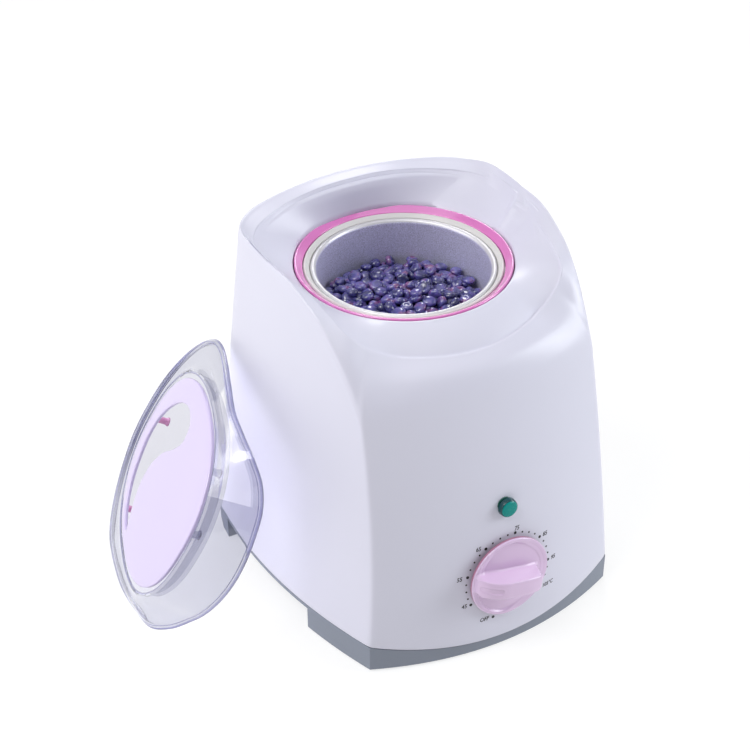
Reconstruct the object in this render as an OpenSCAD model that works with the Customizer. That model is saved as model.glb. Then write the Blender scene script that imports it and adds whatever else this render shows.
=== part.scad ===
// Counter-top wax warmer: a moulded housing on a grey plinth, a lift-out
// wax pot in a heated well, a thermostat dial, and a clear lid that leans
// against the left side of the housing.
// Millimetres. The pot's axis is Z, the table is z = 0, the dial faces -Y.

/* [Housing] */
// Half of the housing's greatest width, at its bottom edge
half_width = 95.8; // [94:0.1:98]
// Distance from the pot's axis to the middle of the front face, at the bottom
front_reach = 113; // [111:0.5:116]
// Distance from the pot's axis to the middle of the back face, at the crest
back_reach = 68; // [67:0.5:70]
// Inward lean of the side and back walls, per unit of height
wall_lean = 0.107; // [0.1:0.001:0.115]
// Thickness of the housing wall
wall_t = 2.6; // [2:0.1:3]

/* [Plinth] */
// Height of the plinth, up to the edge of the housing
plinth_h = 16; // [15:0.5:17]
// How far the rubber feet stand out below the plinth
foot_h = 1.5; // [1:0.1:1.8]
// Radius of a rubber foot
foot_r = 7; // [5:0.5:8]

/* [Wax pot] */
// Outer radius of the pink trim ring around the well
ring_r = 57; // [56.5:0.1:57.2]
// Outer radius of the cream collar on the pot
collar_r = 52.2; // [51.5:0.1:52.4]
// Inner radius of the aluminium pot at its mouth
pot_r = 45.4; // [44:0.1:45.6]
// Depth of the pot
pot_depth = 74; // [60:1:76]
// How far the beads lie below the mouth
bead_gap = 21; // [15:1:40]

/* [Dial] */
// Radius of the dial's skirt
knob_r = 23.0; // [22:0.1:24]
// Height of the middle of the dial above the plinth's underside
dial_h = 45.3; // [44:0.1:48]
// Backward tilt of the dial's face
dial_tilt = 5; // [3:0.5:7]
// Height of the pilot lamp above the plinth's underside
lamp_h = 87.5; // [84:0.5:92]

/* [Lid] */
// Height of the lid's flat top above the plinth's underside, when it is closed
lid_top_h = 196.5; // [195:0.5:199]
// Thickness of the clear lid
lid_t = 1.8; // [1.5:0.1:2.2]
// Half of the pink plate's width
plate_half_w = 55; // [53:0.5:56]
// Half of the pink plate's length
plate_half_l = 58; // [56:0.5:59]

/* [Hidden] */
$fn = 64;
side_r = 273;        // radius of the side walls in plan
face_r = 172;        // radius of the front and back faces in plan
widest_y = 12;       // where the housing is widest
front_lean = 0.0717; // lean of the front face at its bottom
front_curve = 0.00076;
crest_h = 196;       // height of the rim at the back
shoulder_h = 150;    // where the front face starts to roll over
ring_h = 176;        // height of the trim ring's outer edge
front_dip = 9.7;     // how far the housing's edge dips at the front
blend = 22;          // rounding of the two back corners
shoulder_roll = 9;   // fullness of the rolled front shoulder
gap = 0.3;           // clearance between neighbouring pieces
front_cols = 12;
side_cols = 34;
wall_rows = 5;
lid_centre = [0, -8];

// The line in which the lid sits: angle from the front, radius, height.
seat_line = [
  [0, 76, 165.5], [24, 76.4, 167], [33, 76.8, 168.3], [42, 80.6, 174],
  [49, 82, 181], [58, 76.8, 186], [70, 72, 190], [86, 71.2, 191],
  [98, 73.6, 191], [110, 77, 191], [122, 77.3, 191], [134, 72.9, 192],
  [146, 68, 193.2], [162, 62, 195], [180, 59.5, 195.5]
];
// The crest of the side and back walls: angle from the front, height.
crest_line = [
  [41.6, 150], [43, 156], [44.4, 162], [45.8, 167.5], [47.8, 173.5], [50.3, 179], [53, 183],
  [57.1, 188], [62, 191], [69, 194.4], [76, 196.3], [90, 196], [114, 196],
  [124, 194.5], [132, 194.7], [150, 196], [180, 197]
];

// ---------- walls of the housing ----------
function mix(a, b, t) = a + (b - a) * t;
function soft_min(a, b, k) = min(a, b) - pow(max(k - abs(a - b), 0), 2) / (4 * k);
function side_x(y, h) = half_width - pow(y - widest_y, 2) / (2 * side_r)
  - wall_lean * (h - plinth_h);
function front_y(x, h) = -front_reach + front_lean * (h - plinth_h)
  + front_curve * pow(h - plinth_h, 2) + x * x / (2 * face_r);
// Half width at which the front face meets the side wall
function corner_x(h, x = 70, n = 5) = n == 0 ? x : corner_x(h, side_x(front_y(x, h), h), n - 1);
// Positive root of a r^2 + b r = c
function root(a, b, c) = 2 * c / (b + sqrt(b * b + 4 * a * c) + 1e-6);
function side_reach(phi, h) = root(pow(cos(phi), 2) / (2 * side_r),
  sin(phi) + cos(phi) * widest_y / side_r,
  half_width - wall_lean * (h - plinth_h) - pow(widest_y, 2) / (2 * side_r));
function back_wall(phi, h) = root(pow(sin(phi), 2) / (2 * face_r), -cos(phi),
  back_reach + wall_lean * (crest_h - h));
function around(phi, r, h) = [r * sin(phi), -r * cos(phi), h];

// A point of the wall: u runs 0 to 1 over half of the front face, then
// 1 to 2 round the side to the middle of the back.
function column_angle(u, h) = let (x = corner_x(h), c = atan2(x, -front_y(x, h)))
  u < 1 ? atan2(u * x, -front_y(u * x, h)) : mix(c, 180, u - 1);
function wall_point(u, h) = let (x = u * corner_x(h), phi = column_angle(u, h))
  u < 1 ? [x, front_y(x, h), h]
        : around(phi, soft_min(side_reach(phi, h), back_wall(phi, h), blend), h);

// Smooth interpolation in a table whose first column rises
function row_at(t, phi, i = 0) = i >= len(t) - 2 || phi < t[i + 1][0] ? i : row_at(t, phi, i + 1);
function look_up(t, phi, col) = let (
  i = row_at(t, phi),
  s = max(0, min(1, (phi - t[i][0]) / (t[i + 1][0] - t[i][0]))),
  w = t[i + 1][0] - t[i][0],
  m0 = i == 0 ? 0 : (t[i + 1][col] - t[i - 1][col]) / (t[i + 1][0] - t[i - 1][0]) * w,
  m1 = i == len(t) - 2 ? 0 : (t[i + 2][col] - t[i][col]) / (t[i + 2][0] - t[i][0]) * w)
  t[i][col] * (2 * pow(s, 3) - 3 * s * s + 1) + m0 * (pow(s, 3) - 2 * s * s + s)
  + t[i + 1][col] * (3 * s * s - 2 * pow(s, 3)) + m1 * (pow(s, 3) - s * s);
function seat_point(phi) = around(phi, look_up(seat_line, phi, 1), look_up(seat_line, phi, 2));
function crest_height(u) = u <= 1 ? shoulder_h
  : look_up(crest_line, column_angle(u, shoulder_h), 1);
function edge_height(u) = u < 1
  ? plinth_h - front_dip * (1 - pow(u, 2))
  : plinth_h;

// The half profile at column u, from the bottom edge to the well's hole.
// inset moves it inwards to make the inner skin.
function profile(u, inset) = let (
  phi = column_angle(u, shoulder_h),
  top = crest_height(u),
  low = edge_height(u),
  crest = wall_point(u, top),
  seat = seat_point(phi),
  roll = shoulder_roll * max(0, 1 - max(0, u - 1) / 0.06),
  knee = [mix(crest.x, seat.x, 0.15), mix(crest.y, seat.y, 0.15), mix(seat.z, top, 0.85) + roll],
  hole = around(phi, ring_r + 0.5 + inset * 0.2, ring_h),
  deck = [mix(hole.x, seat.x, 0.5), mix(hole.y, seat.y, 0.5), mix(ring_h, seat.z, 0.42)],
  raw = concat(
    [for (i = [0 : wall_rows]) wall_point(u, mix(low, top - 3, i / wall_rows))],
    [crest * 0.75 + knee * 0.2 + seat * 0.05, crest * 0.2 + knee * 0.5 + seat * 0.3,
     seat, deck, hole]))
  [for (i = [0 : len(raw) - 1]) let (p = raw[i], r = norm([p.x, p.y]),
    k = i >= len(raw) - 1 ? 1 : (r - inset * 1.05) / r)
    [p.x * k, p.y * k, p.z - (i == 0 ? 0 : inset * min(1, i / (wall_rows + 1)))]];

columns = concat(
  [for (i = [0 : front_cols]) i / front_cols],
  [for (i = [1 : side_cols]) 1 + pow(i / side_cols, 1.15)]);
ring_columns = concat([for (u = columns) [u, 1]],
  [for (i = [len(columns) - 2 : -1 : 1]) [columns[i], -1]]);

// A closed shell between two skins made of the same rows and columns. The
// last rows are joined round a hole, or each is capped when capped is true.
function skin_faces(nc, nr, capped) = concat(
  [for (s = [0, 1], i = [0 : nc - 1], j = [0 : nr - 2])
    let (b = s * nc * nr, a = b + i * nr + j, c = b + ((i + 1) % nc) * nr + j)
      each s == 0 ? [[a, a + 1, c + 1], [a, c + 1, c]] : [[a, c + 1, a + 1], [a, c, c + 1]]],
  [for (i = [0 : nc - 1]) let (o = nc * nr, a = i * nr, c = ((i + 1) % nc) * nr)
      each concat([[a, c, o + c], [a, o + c, o + a]], capped ? []
        : [[a + nr - 1, o + c + nr - 1, c + nr - 1], [a + nr - 1, o + a + nr - 1, o + c + nr - 1]])],
  capped ? [[for (i = [nc - 1 : -1 : 0]) i * nr + nr - 1],
    [for (i = [0 : nc - 1]) nc * nr + i * nr + nr - 1]] : []);
module two_skins(outer, inner, capped = false) {
  nc = len(outer);
  nr = len(outer[0]);
  polyhedron(points = concat([for (c = outer) each c], [for (c = inner) each c]),
    faces = skin_faces(nc, nr, capped), convexity = 6);
}

// Outline of the plinth in plan, moved inwards by inset
module footprint(inset) {
  polygon([for (c = ring_columns) let (p = wall_point(c[0], plinth_h), r = norm([p.x, p.y]))
    [c[1] * p.x, p.y] * (r - inset) / r]);
}
module lift(h = 0) {
  translate([0, 0, foot_h + h]) children();
}
// The four corners of the base, where the feet and the base screws are
module at_corners(x, y_front, y_back) {
  for (s = [-1, 1]) {
    translate([s * x, -y_front, 0]) children();
    translate([s * x, y_back, 0]) children();
  }
}
// Frame of the dial: +Z points out of the face, +Y up
module on_face(h, x = 0) {
  lift(h) translate([x, front_y(x, h), 0]) rotate([90 - dial_tilt, 0, 0]) children();
}
module screw(r, length, head_r, head_h) {
  cylinder(r = r, h = length);
  translate([0, 0, -head_h]) difference() {
    cylinder(r = head_r, h = head_h);
    for (a = [0, 90]) rotate(a) translate([-head_r * 0.55, -r * 0.25, -1])
      cube([head_r * 1.1, r * 0.5, 1 + head_h * 0.5]);
  }
}

// ---------- housing and base ----------
notch_y = [-53, 34];   // length of the finger notches along the sides
notch_in = 66;         // how far in the notches reach
floor_t = 2.5;
boss_x = 52;           // the base screws
boss_front = 84;
boss_back = 60;
boss_r = 4.2;

module housing() {
  color([0.9, 0.9, 0.96]) difference() {
    union() {
      lift() two_skins(
        [for (c = ring_columns) [for (p = profile(c[0], 0)) [c[1] * p.x, p.y, p.z]]],
        [for (c = ring_columns) [for (p = profile(c[0], wall_t)) [c[1] * p.x, p.y, p.z]]]);
      // posts that take the base screws, each on a rib
      lift(plinth_h) at_corners(boss_x, boss_front, boss_back) cylinder(r = boss_r, h = 16);
      lift(plinth_h + 2) for (s = [-1, 1]) {
        translate([s * boss_x - 1.1, -102, 0]) cube([2.2, 16, 12]);
        translate([s * boss_x - 1.1, boss_back + 2, 0]) cube([2.2, 15.5, 12]);
      }
    }
    lift(plinth_h - 1) at_corners(boss_x, boss_front, boss_back) cylinder(r = 1.65, h = 14);
    on_face(dial_h) translate([0, 0, -8]) cylinder(r = 5.2, h = 16);
    on_face(lamp_h) translate([0, 0, -8]) cylinder(r = 4.4, h = 16);
    at_inlet() translate([0, 0, -12]) cylinder(r = 6.2, h = 24);
  }
}
// Frame of the cord inlet: +Z points out of the back wall
inlet_x = 45;
inlet_h = 30;
module at_inlet() {
  lift(inlet_h) translate([inlet_x, back_reach + wall_lean * (crest_h - inlet_h)
    - inlet_x * inlet_x / (2 * face_r), 0]) rotate([0, 0, -atan(inlet_x / face_r)])
    rotate([-90, 0, 0]) children();
}

module base_tray() {
  color([0.56, 0.6, 0.66]) lift() difference() {
    union() {
      difference() {
        linear_extrude(plinth_h - gap) footprint(0.2);
        translate([0, 0, floor_t]) linear_extrude(plinth_h) footprint(2.8);
      }
      // roof and inner wall of the two finger notches
      intersection() {
        linear_extrude(plinth_h - gap) footprint(0.2);
        for (s = [-1, 1]) translate([s * (notch_in + 20), 0, 0]) translate([-22.5, notch_y[0] - 2.5, 0])
          cube([45, notch_y[1] - notch_y[0] + 5, plinth_h]);
      }
      at_corners(boss_x, boss_front, boss_back) cylinder(r = boss_r, h = plinth_h - gap);
      // posts that hold up the well
      for (a = post_angles) rotate(a) translate([40, 0, 0]) cylinder(r = 4, h = post_top);
      // shelf for the terminal block, with its two pegs
      translate([14, 26, 0]) cube([38, 24, shelf_h]);
      for (x = [11.5, 22.5]) translate([block_at.x + x, block_at.y + 10, 0])
        cylinder(r = 1.4, h = shelf_h + 3);
    }
    for (s = [-1, 1]) translate([s * (notch_in + 30) - 30, notch_y[0], -1])
      cube([60, notch_y[1] - notch_y[0], plinth_h - floor_t + 1]);
    // top edge follows the dip of the housing at the front
    translate([0, -front_reach - 1, plinth_h - front_dip - 2 * gap + 284]) rotate([-90, 0, 0])
      cylinder(r = 284, h = 22, $fn = 180);
    at_corners(boss_x, boss_front, boss_back) {
      translate([0, 0, -1]) cylinder(r = 1.7, h = 30);
      translate([0, 0, -1]) cylinder(r = 3.4, h = 3.2);
    }
    for (p = foot_places) translate([p.x, p.y, -1]) {
      cylinder(r = 2.1, h = 6);
      cylinder(r = foot_r + gap, h = 1 + foot_recess);
    }
    // air slots under the well, and the clamp's screw holes
    for (i = [-3 : 3]) translate([i * 8 - 1.5, -26, -1]) cube([3, 40, 5]);
    for (s = [-1, 1]) translate([clamp_at.x + s * 8, clamp_at.y, 0.8]) cylinder(r = 1.55, h = 5);
  }
}
shelf_h = floor_t + 4;
post_top = 88;
post_angles = [90, 210, 330];
clamp_at = [32, 64];
foot_places = [[-62, -76], [62, -76], [-62, 58], [62, 58]];
foot_recess = 0.6;     // depth of the round seats that the feet stand in

module rubber_feet() {
  color([0.12, 0.12, 0.13]) for (p = foot_places) translate([p.x, p.y, 0]) {
    cylinder(r = foot_r, h = foot_h + foot_recess);
    cylinder(r = 2.05, h = foot_h + floor_t);
    translate([0, 0, foot_h + floor_t]) cylinder(r1 = 3, r2 = 1.6, h = 1.6);
  }
}

module base_screws() {
  color([0.75, 0.75, 0.78]) lift(2.2) at_corners(boss_x, boss_front, boss_back)
    screw(1.6, 24, 3.1, 1.8);
}

// ---------- well, heater and pot ----------
ring_in = 52.6;          // inner radius of the trim ring
well_in = pot_r + 1.2 + 0.9;
well_t = 1.5;
mouth_h = 173;           // height of the pot's mouth
flange_h = 168.4;        // top of the well's flange
well_bottom = mouth_h - pot_depth - 5;

module trim_ring() {
  color([0.92, 0.5, 0.78]) lift() rotate_extrude($fn = 96) polygon([
    [ring_in, ring_h - 1.7], [ring_in + 0.5, ring_h - 1.2], [ring_r - 0.6, ring_h + 0.3],
    [ring_r, ring_h - 0.2], [ring_r, flange_h + 2], [ring_r + 3.5, flange_h + 2],
    [ring_r + 3.5, flange_h + gap], [ring_in, flange_h + gap]]);
}

module heater_well() {
  color([0.72, 0.73, 0.75]) lift() rotate_extrude($fn = 96) polygon([
    [0, well_bottom - well_t], [well_in + well_t, well_bottom - well_t],
    [well_in + well_t, flange_h - well_t], [ring_r + 3, flange_h - well_t],
    [ring_r + 3, flange_h], [well_in, flange_h], [well_in, well_bottom],
    [0, well_bottom]]);
}

band_r = well_in + well_t + 0.1;
band_h = well_bottom + 8;
module heater_band() {
  color([0.55, 0.42, 0.3]) lift(band_h) rotate_extrude($fn = 96)
    translate([band_r, 0]) square([1.8, 42]);
}

module band_clamp() {
  color([0.78, 0.78, 0.8]) lift(band_h + 16) {
    difference() {
      cylinder(r = band_r + 2.7, h = 9, $fn = 96);
      translate([0, 0, -1]) cylinder(r = band_r + 2, h = 11, $fn = 96);
      rotate(200) translate([band_r - 4, -2, -1]) cube([12, 4, 11]);
    }
    rotate(200) for (s = [-1, 1]) translate([band_r + 2, s * 3 - 0.6, 0]) cube([7, 1.2, 9]);
    rotate(200) translate([band_r + 6, -6, 4.5]) rotate([-90, 0, 0]) cylinder(r = 1.2, h = 12);
  }
}

module insulation_sleeve() {
  color([0.93, 0.92, 0.85]) lift(band_h - 4) difference() {
    cylinder(r = band_r + 9, h = 54, $fn = 96);
    translate([0, 0, -1]) cylinder(r = band_r + 3.2, h = 56, $fn = 96);
    rotate(200) translate([band_r, -9, 16]) cube([14, 18, 17]);
    rotate(-60) translate([band_r, -8, -1]) cube([14, 16, 26]);
  }
}

module well_spacers() {
  color([0.95, 0.94, 0.9]) lift(post_top) for (a = post_angles) rotate(a)
    translate([40, 0, 0]) cylinder(r = 3.4, h = well_bottom - well_t - post_top);
}

module thermal_fuse() {
  color([0.82, 0.75, 0.5]) lift(band_h) rotate(-60) translate([band_r + 4.4, 0, 0]) {
    cylinder(r = 2.2, h = 12);
    translate([0, 0, -3]) cylinder(r = 0.6, h = 18);
  }
}

module sensor_bulb() {
  color([0.8, 0.5, 0.35]) lift(well_bottom - well_t - 4.4) rotate(10) translate([-30, 0, 0])
    rotate([0, 90, 0]) cylinder(r = 3, h = 60);
}

module wax_pot() {
  color([0.66, 0.67, 0.7]) lift() rotate_extrude($fn = 96) polygon([
    [0, mouth_h - pot_depth], [pot_r - 3, mouth_h - pot_depth], [pot_r, mouth_h - pot_depth + 3],
    [pot_r + 0.1, mouth_h - 1.4], [pot_r + 1, mouth_h - 0.3], [pot_r + 2, mouth_h],
    [pot_r + 3, mouth_h - 0.3], [pot_r + 3.4, mouth_h - 1.6], [pot_r + 1.4, mouth_h - 1.8],
    [pot_r + 1.2, mouth_h - pot_depth + 2.4], [pot_r - 2.4, mouth_h - pot_depth - 1.2],
    [0, mouth_h - pot_depth - 1.2]]);
}

module pot_collar() {
  color([0.9, 0.88, 0.85]) lift() rotate_extrude($fn = 96) polygon([
    [pot_r + 1.5, flange_h + gap], [pot_r + 1.5, mouth_h - 2.05], [pot_r + 3.6, mouth_h - 1.8],
    [pot_r + 3.7, mouth_h - 0.1], [collar_r - 0.6, mouth_h + 1.4], [collar_r, mouth_h + 0.9],
    [collar_r, flange_h + gap]]);
}

module wax_beads() {
  bead_top = mouth_h - bead_gap;
  color([0.3, 0.28, 0.5]) lift() rotate_extrude($fn = 96) polygon([
    [0, mouth_h - pot_depth + 0.2], [pot_r - 3.3, mouth_h - pot_depth + 0.2],
    [pot_r - 0.3, mouth_h - pot_depth + 3.2], [pot_r - 0.3, bead_top - 4],
    [pot_r * 0.66, bead_top - 1], [pot_r * 0.33, bead_top + 1], [0, bead_top + 1.6]]);
}

// ---------- dial and lamp ----------
module thermostat_body() {
  color([0.9, 0.88, 0.82]) on_face(dial_h) translate([0, 0, -26]) difference() {
    union() {
      translate([-17, -14, 0]) cube([34, 28, 14]);
      translate([-20, -8, 14]) cube([40, 16, 1.5]);
      for (x = [-10, 0, 10]) translate([x - 3, -0.4, -8]) cube([6, 0.8, 8.5]);
    }
    translate([0, 0, 8]) cylinder(r = 3.15, h = 10);
  }
}

module thermostat_bush() {
  color([0.8, 0.7, 0.4]) on_face(dial_h) translate([0, 0, -10.4]) difference() {
    union() {
      cylinder(r = 7, h = 1.6);
      cylinder(r = 4.9, h = 12);
    }
    translate([0, 0, -1]) cylinder(r = 3.05, h = 16);
  }
}

module bush_nut() {
  color([0.75, 0.75, 0.78]) on_face(dial_h) translate([0, 0, 0.35]) difference() {
    cylinder(r = 6.6, h = 1.6, $fn = 6);
    translate([0, 0, -1]) cylinder(r = 4.95, h = 4);
  }
}

module thermostat_shaft() {
  color([0.78, 0.78, 0.8]) on_face(dial_h) translate([0, 0, -17.5]) difference() {
    cylinder(r = 3, h = 29.7);
    translate([1.6, -4, 23]) cube([4, 8, 10]);
  }
}

// The knob turns with the shaft; at rest its pointer stands near 54 degrees.
pointer_angle = 79;
grip_top = 14;
function grip_slope(a) = [7 + (knob_r - 7.8) * sin(a), 2.6 + (grip_top - 2.6) * cos(a)];
module dial_knob() {
  color([0.87, 0.76, 0.9]) on_face(dial_h) translate([0, 0, 0.7])
    rotate(90 + pointer_angle) difference() {
    union() {
      rotate_extrude($fn = 96) polygon([[0, 0], [knob_r - 0.5, 0], [knob_r, 0.5],
        [knob_r, 1.9], [knob_r - 0.7, 2.6], [knob_r - 1.7, 2.6], [knob_r - 2.4, 1.7],
        [8.4, 2.6], [0, 2.6]]);
      rotate([90, 0, 0]) linear_extrude(10, center = true) polygon([[-15.6, 0.5],
        [-13.3, grip_top - 0.5], [-12.6, grip_top], for (a = [0:10:80]) grip_slope(a),
        [knob_r - 0.8, 2.6], [knob_r - 0.8, 0.5]]);
    }
    translate([0, 0, -1]) cylinder(r = 7, h = 2.5);
    difference() {
      translate([0, 0, -1]) cylinder(r = 3.02, h = 12.9);
      rotate(-90 - pointer_angle) translate([1.62, -4, 5.3]) cube([4, 8, 10]);
    }
  }
}

module pilot_lens() {
  color([0, 0.5, 0.38]) on_face(lamp_h) rotate_extrude($fn = 64) polygon([
    [0, 0.5], [4.2, 0.5], [4.2, 0.4], [5.4, 0.4], [5.4, 1.4], [4.6, 2.4], [3, 3.4], [0, 3.9]]);
}

module pilot_lamp() {
  color([0.15, 0.3, 0.26]) on_face(lamp_h) translate([0, 0, -22]) {
    cylinder(r = 4.1, h = 22.3);
    for (x = [-2, 2]) translate([x, 0, -5]) cylinder(r = 0.7, h = 6);
  }
}

module lamp_clip() {
  color([0.7, 0.7, 0.72]) on_face(lamp_h) translate([0, 0, -5.2]) difference() {
    cylinder(r = 7, h = 0.8);
    translate([0, 0, -1]) cylinder(r = 4.15, h = 3);
    for (a = [0 : 60 : 300]) rotate(a) translate([4.6, -0.5, -1]) cube([4, 1, 3]);
  }
}

// ---------- electrical parts ----------
block_at = [16, 28, floor_t + 4.2];
module terminal_block() {
  color([0.95, 0.94, 0.9]) lift() translate(block_at) difference() {
    cube([34, 20, 14]);
    for (x = [11.5, 22.5]) translate([x, 10, -1]) cylinder(r = 1.5, h = 4.2);
    for (i = [0 : 2]) translate([6 + 11 * i, 0, 0]) {
      translate([0, 21, 6]) rotate([90, 0, 0]) cylinder(r = 2, h = 22);
      translate([0, 10, 6]) cylinder(r = 1.9, h = 9);
    }
  }
}

module terminal_screws() {
  color([0.8, 0.7, 0.4]) lift() translate(block_at) for (i = [0 : 2])
    translate([6 + 11 * i, 10, 8]) cylinder(r = 1.7, h = 4);
}

module inlet_bush() {
  color([0.2, 0.2, 0.22]) at_inlet() translate([0, 0, -6]) difference() {
    union() {
      cylinder(r = 5.9, h = 9);
      translate([0, 0, 7]) cylinder(r = 8, h = 2.4);
      cylinder(r = 7, h = 1.6);
    }
    translate([0, 0, -1]) cylinder(r = 3.6, h = 20);
  }
}

module cord_clamp() {
  color([0.93, 0.92, 0.9]) lift(floor_t + 0.1) translate([clamp_at.x, clamp_at.y, 0]) difference() {
    translate([-12, -4, 0]) cube([24, 8, 7]);
    translate([0, 5, 0]) rotate([90, 0, 0]) cylinder(r = 3.2, h = 10);
    for (s = [-1, 1]) translate([s * 8, 0, -1]) cylinder(r = 1.6, h = 10);
  }
}

module clamp_screws() {
  color([0.75, 0.75, 0.78]) lift(1) for (s = [-1, 1])
    translate([clamp_at.x + s * 8, clamp_at.y, 0]) {
      cylinder(r = 1.5, h = floor_t + 7);
      translate([0, 0, floor_t + 6.2]) cylinder(r = 2.8, h = 1.6);
    }
}

// A wire of eight sides swept along points; the end rings are caps.
module wire(path, r) {
  n = len(path);
  sides = 8;
  dirs = [for (i = [0 : n - 1]) let (
    d = path[min(i + 1, n - 1)] - path[max(i - 1, 0)]) d / norm(d)];
  rings = [for (i = [0 : n - 1]) let (
    d = dirs[i],
    e = abs(d.z) > 0.9 ? [1, 0, 0] : [0, 0, 1],
    a = cross(d, e) / norm(cross(d, e)),
    b = cross(d, a))
    [for (k = [0 : sides - 1]) path[i] + r * (cos(k * 45) * a + sin(k * 45) * b)]];
  polyhedron(points = [for (q = rings) each q], faces = concat(
    [[for (k = [0 : sides - 1]) k]],
    [[for (k = [sides - 1 : -1 : 0]) (n - 1) * sides + k]],
    [for (i = [0 : n - 2], k = [0 : sides - 1]) let (m = (k + 1) % sides)
      [i * sides + k, (i + 1) * sides + k, (i + 1) * sides + m, i * sides + m]]), convexity = 8);
}
// A smooth curve through a short list of points
function curve(p, steps = 5) = concat([for (i = [0 : len(p) - 2], k = [0 : steps - 1]) let (
  a = p[max(i - 1, 0)], b = p[i], c = p[i + 1], d = p[min(i + 2, len(p) - 1)], t = k / steps)
  0.5 * (2 * b + (c - a) * t + (2 * a - 5 * b + 4 * c - d) * t * t
    + (3 * b - a - 3 * c + d) * pow(t, 3))], [p[len(p) - 1]]);

module capillary() {
  color([0.85, 0.55, 0.4]) lift() wire(curve([[-30.5, -5.4, 88.1], [-36, -7, 87.5],
    [-42, -16, 82], [-41, -36, 74], [-31, -62, 63], [-17, -83, 53]]), 0.8);
}
module lead_live() {
  color([0.75, 0.15, 0.12]) lift() wire(curve([[10, -75.6, 42.1], [14, -70, 38], [30, -56, 26],
    [46, -36, 17], [48, -12, 14], [38, 8, 13], [22, 18, 13], [22, 32, 12.7]]), 1.1);
}
module lead_lamp() {
  color([0.2, 0.35, 0.7]) lift() wire(curve([[2, -75.8, 84.6], [8, -70, 78], [26, -60, 56],
    [44, -38, 34], [52, -10, 22], [46, 14, 13], [44, 32, 12.7]]), 1.1);
}
module lead_heater() {
  color([0.92, 0.92, 0.88]) lift() wire(curve([[31, -53.6, 100], [32, -56, 90], [36, -44, 66],
    [42, -20, 40], [42, 0, 26], [34, 16, 14.5], [33, 32, 12.7]]), 1.1);
}

// ---------- lid ----------
// How the lid leans: it stands on its left edge, its top face outwards.
lid_at = [-117.2, 26.6, 55.8];
lid_turn = [5.6, -60.6, -20.8];
lid_zero = 180;   // height that the lid's own z = 0 has when it is closed
module leaning() {
  lift() translate(lid_at) rotate(lid_turn) translate([0, 0, -lid_zero]) children();
}

// Outline of the lid's flat top at angle phi: an egg of the given half sizes
egg_n = 2.3;
function egg(phi, grow) = let (
  p = seat_point(abs(phi)),
  q = [p.x, p.y - lid_centre.y],
  d = q / norm(q),
  r = pow(pow(abs(d.x) / (plate_half_w + grow), egg_n)
    + pow(abs(d.y) / (plate_half_l + grow), egg_n), -1 / egg_n))
  [sign(phi) * d.x * r, lid_centre.y + d.y * r];
function rim(phi) = let (p = seat_point(abs(phi)))
  [sign(phi) * p.x * 0.99, p.y * 0.99, p.z + 0.4];
lid_angles = [for (a = [-180 : 5 : 175]) a == 0 ? 0.001 : a];
pocket = 8;       // how deep the pocket under the plate is
edge_gap = 5;     // from the plate's edge to the edge of the flat top
// The lid's half profile at angle phi; each row is a share of the way from
// the rim to the flat top's edge, then of the way in to the middle.
function lid_profile(phi, inset) = let (
  r = rim(phi),
  e = egg(phi, edge_gap),
  skin = function (k, z) [mix(r.x, e.x, k), mix(r.y, e.y, k), z],
  inner = function (grow, z) let (q = egg(phi, grow)) [q.x, q.y, z],
  c = inset > 0 ? 1 : 0)
  [skin(c * 0.08, r.z), skin(0.04 + c * 0.16, r.z + 3 - c * 0.8),
   skin(0.45 + c * 0.14, mix(r.z, lid_top_h, 0.7) - inset * 0.5),
   skin(0.85 + c * 0.06, lid_top_h - 1.2 - inset * 0.8),
   skin(1, lid_top_h - inset),
   inner(edge_gap - 1.4 + inset * 0.8, lid_top_h - 0.5 - inset),
   inner(edge_gap - 2.6 + inset * 0.8, lid_top_h - pocket - inset),
   inner(-20, lid_top_h - pocket - inset),
   inner(3 - plate_half_w, lid_top_h - pocket - inset)];

module lid_shell() {
  color([0.8, 0.8, 0.92, 0.4]) leaning() two_skins(
    [for (a = lid_angles) lid_profile(a, 0)],
    [for (a = lid_angles) lid_profile(a, lid_t)], capped = true);
}

post_places = [[3, 47.6], [-45.2, 24], [41, -45], [10, -60]];
// comma-shaped finger opening: a round head by the edge, then a long tail
comma = [
  [-47, 9], [-43, 21], [-34, 32], [-20, 40], [-6, 44], [9, 43], [22, 36.5], [33, 26],
  [38, 13], [35, 3], [27, 0], [17, 5], [5, 15], [-9, 21], [-22, 21], [-35, 15.5]
];
module plate_outline() {
  polygon([for (a = lid_angles) egg(a, 0)]);
}
module lid_plate() {
  color([0.9, 0.82, 0.96]) leaning() translate([0, 0, lid_top_h - 1.8]) linear_extrude(2)
    difference() {
      plate_outline();
      polygon(curve(concat(comma, [comma[0]]), 3));
      for (p = post_places) translate(p) circle(r = 1.2);
    }
}

module lid_posts() {
  color([0.85, 0.6, 0.8]) leaning() for (p = post_places)
    translate([p.x, p.y, lid_top_h - pocket + 0.1]) {
      cylinder(r = 1.9, h = pocket - 2.1);
      cylinder(r = 1.15, h = pocket + 0.1);
    }
}

housing();
base_tray();
rubber_feet();
base_screws();
trim_ring();
heater_well();
heater_band();
band_clamp();
insulation_sleeve();
well_spacers();
thermal_fuse();
sensor_bulb();
capillary();
thermostat_body();
thermostat_bush();
bush_nut();
thermostat_shaft();
dial_knob();
pilot_lens();
pilot_lamp();
lamp_clip();
terminal_block();
terminal_screws();
inlet_bush();
cord_clamp();
clamp_screws();
lead_live();
lead_lamp();
lead_heater();
wax_pot();
pot_collar();
wax_beads();
lid_shell();
lid_plate();
lid_posts();
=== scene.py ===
"""Looks of a counter-top wax warmer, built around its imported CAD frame.

Lengths are worked out in millimetres, in the CAD model's frame, and turned
into metres when a mesh is made.
"""

import math

import bmesh
import bpy
import numpy as np
from mathutils import Matrix
from mathutils.geometry import delaunay_2d_cdt


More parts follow.
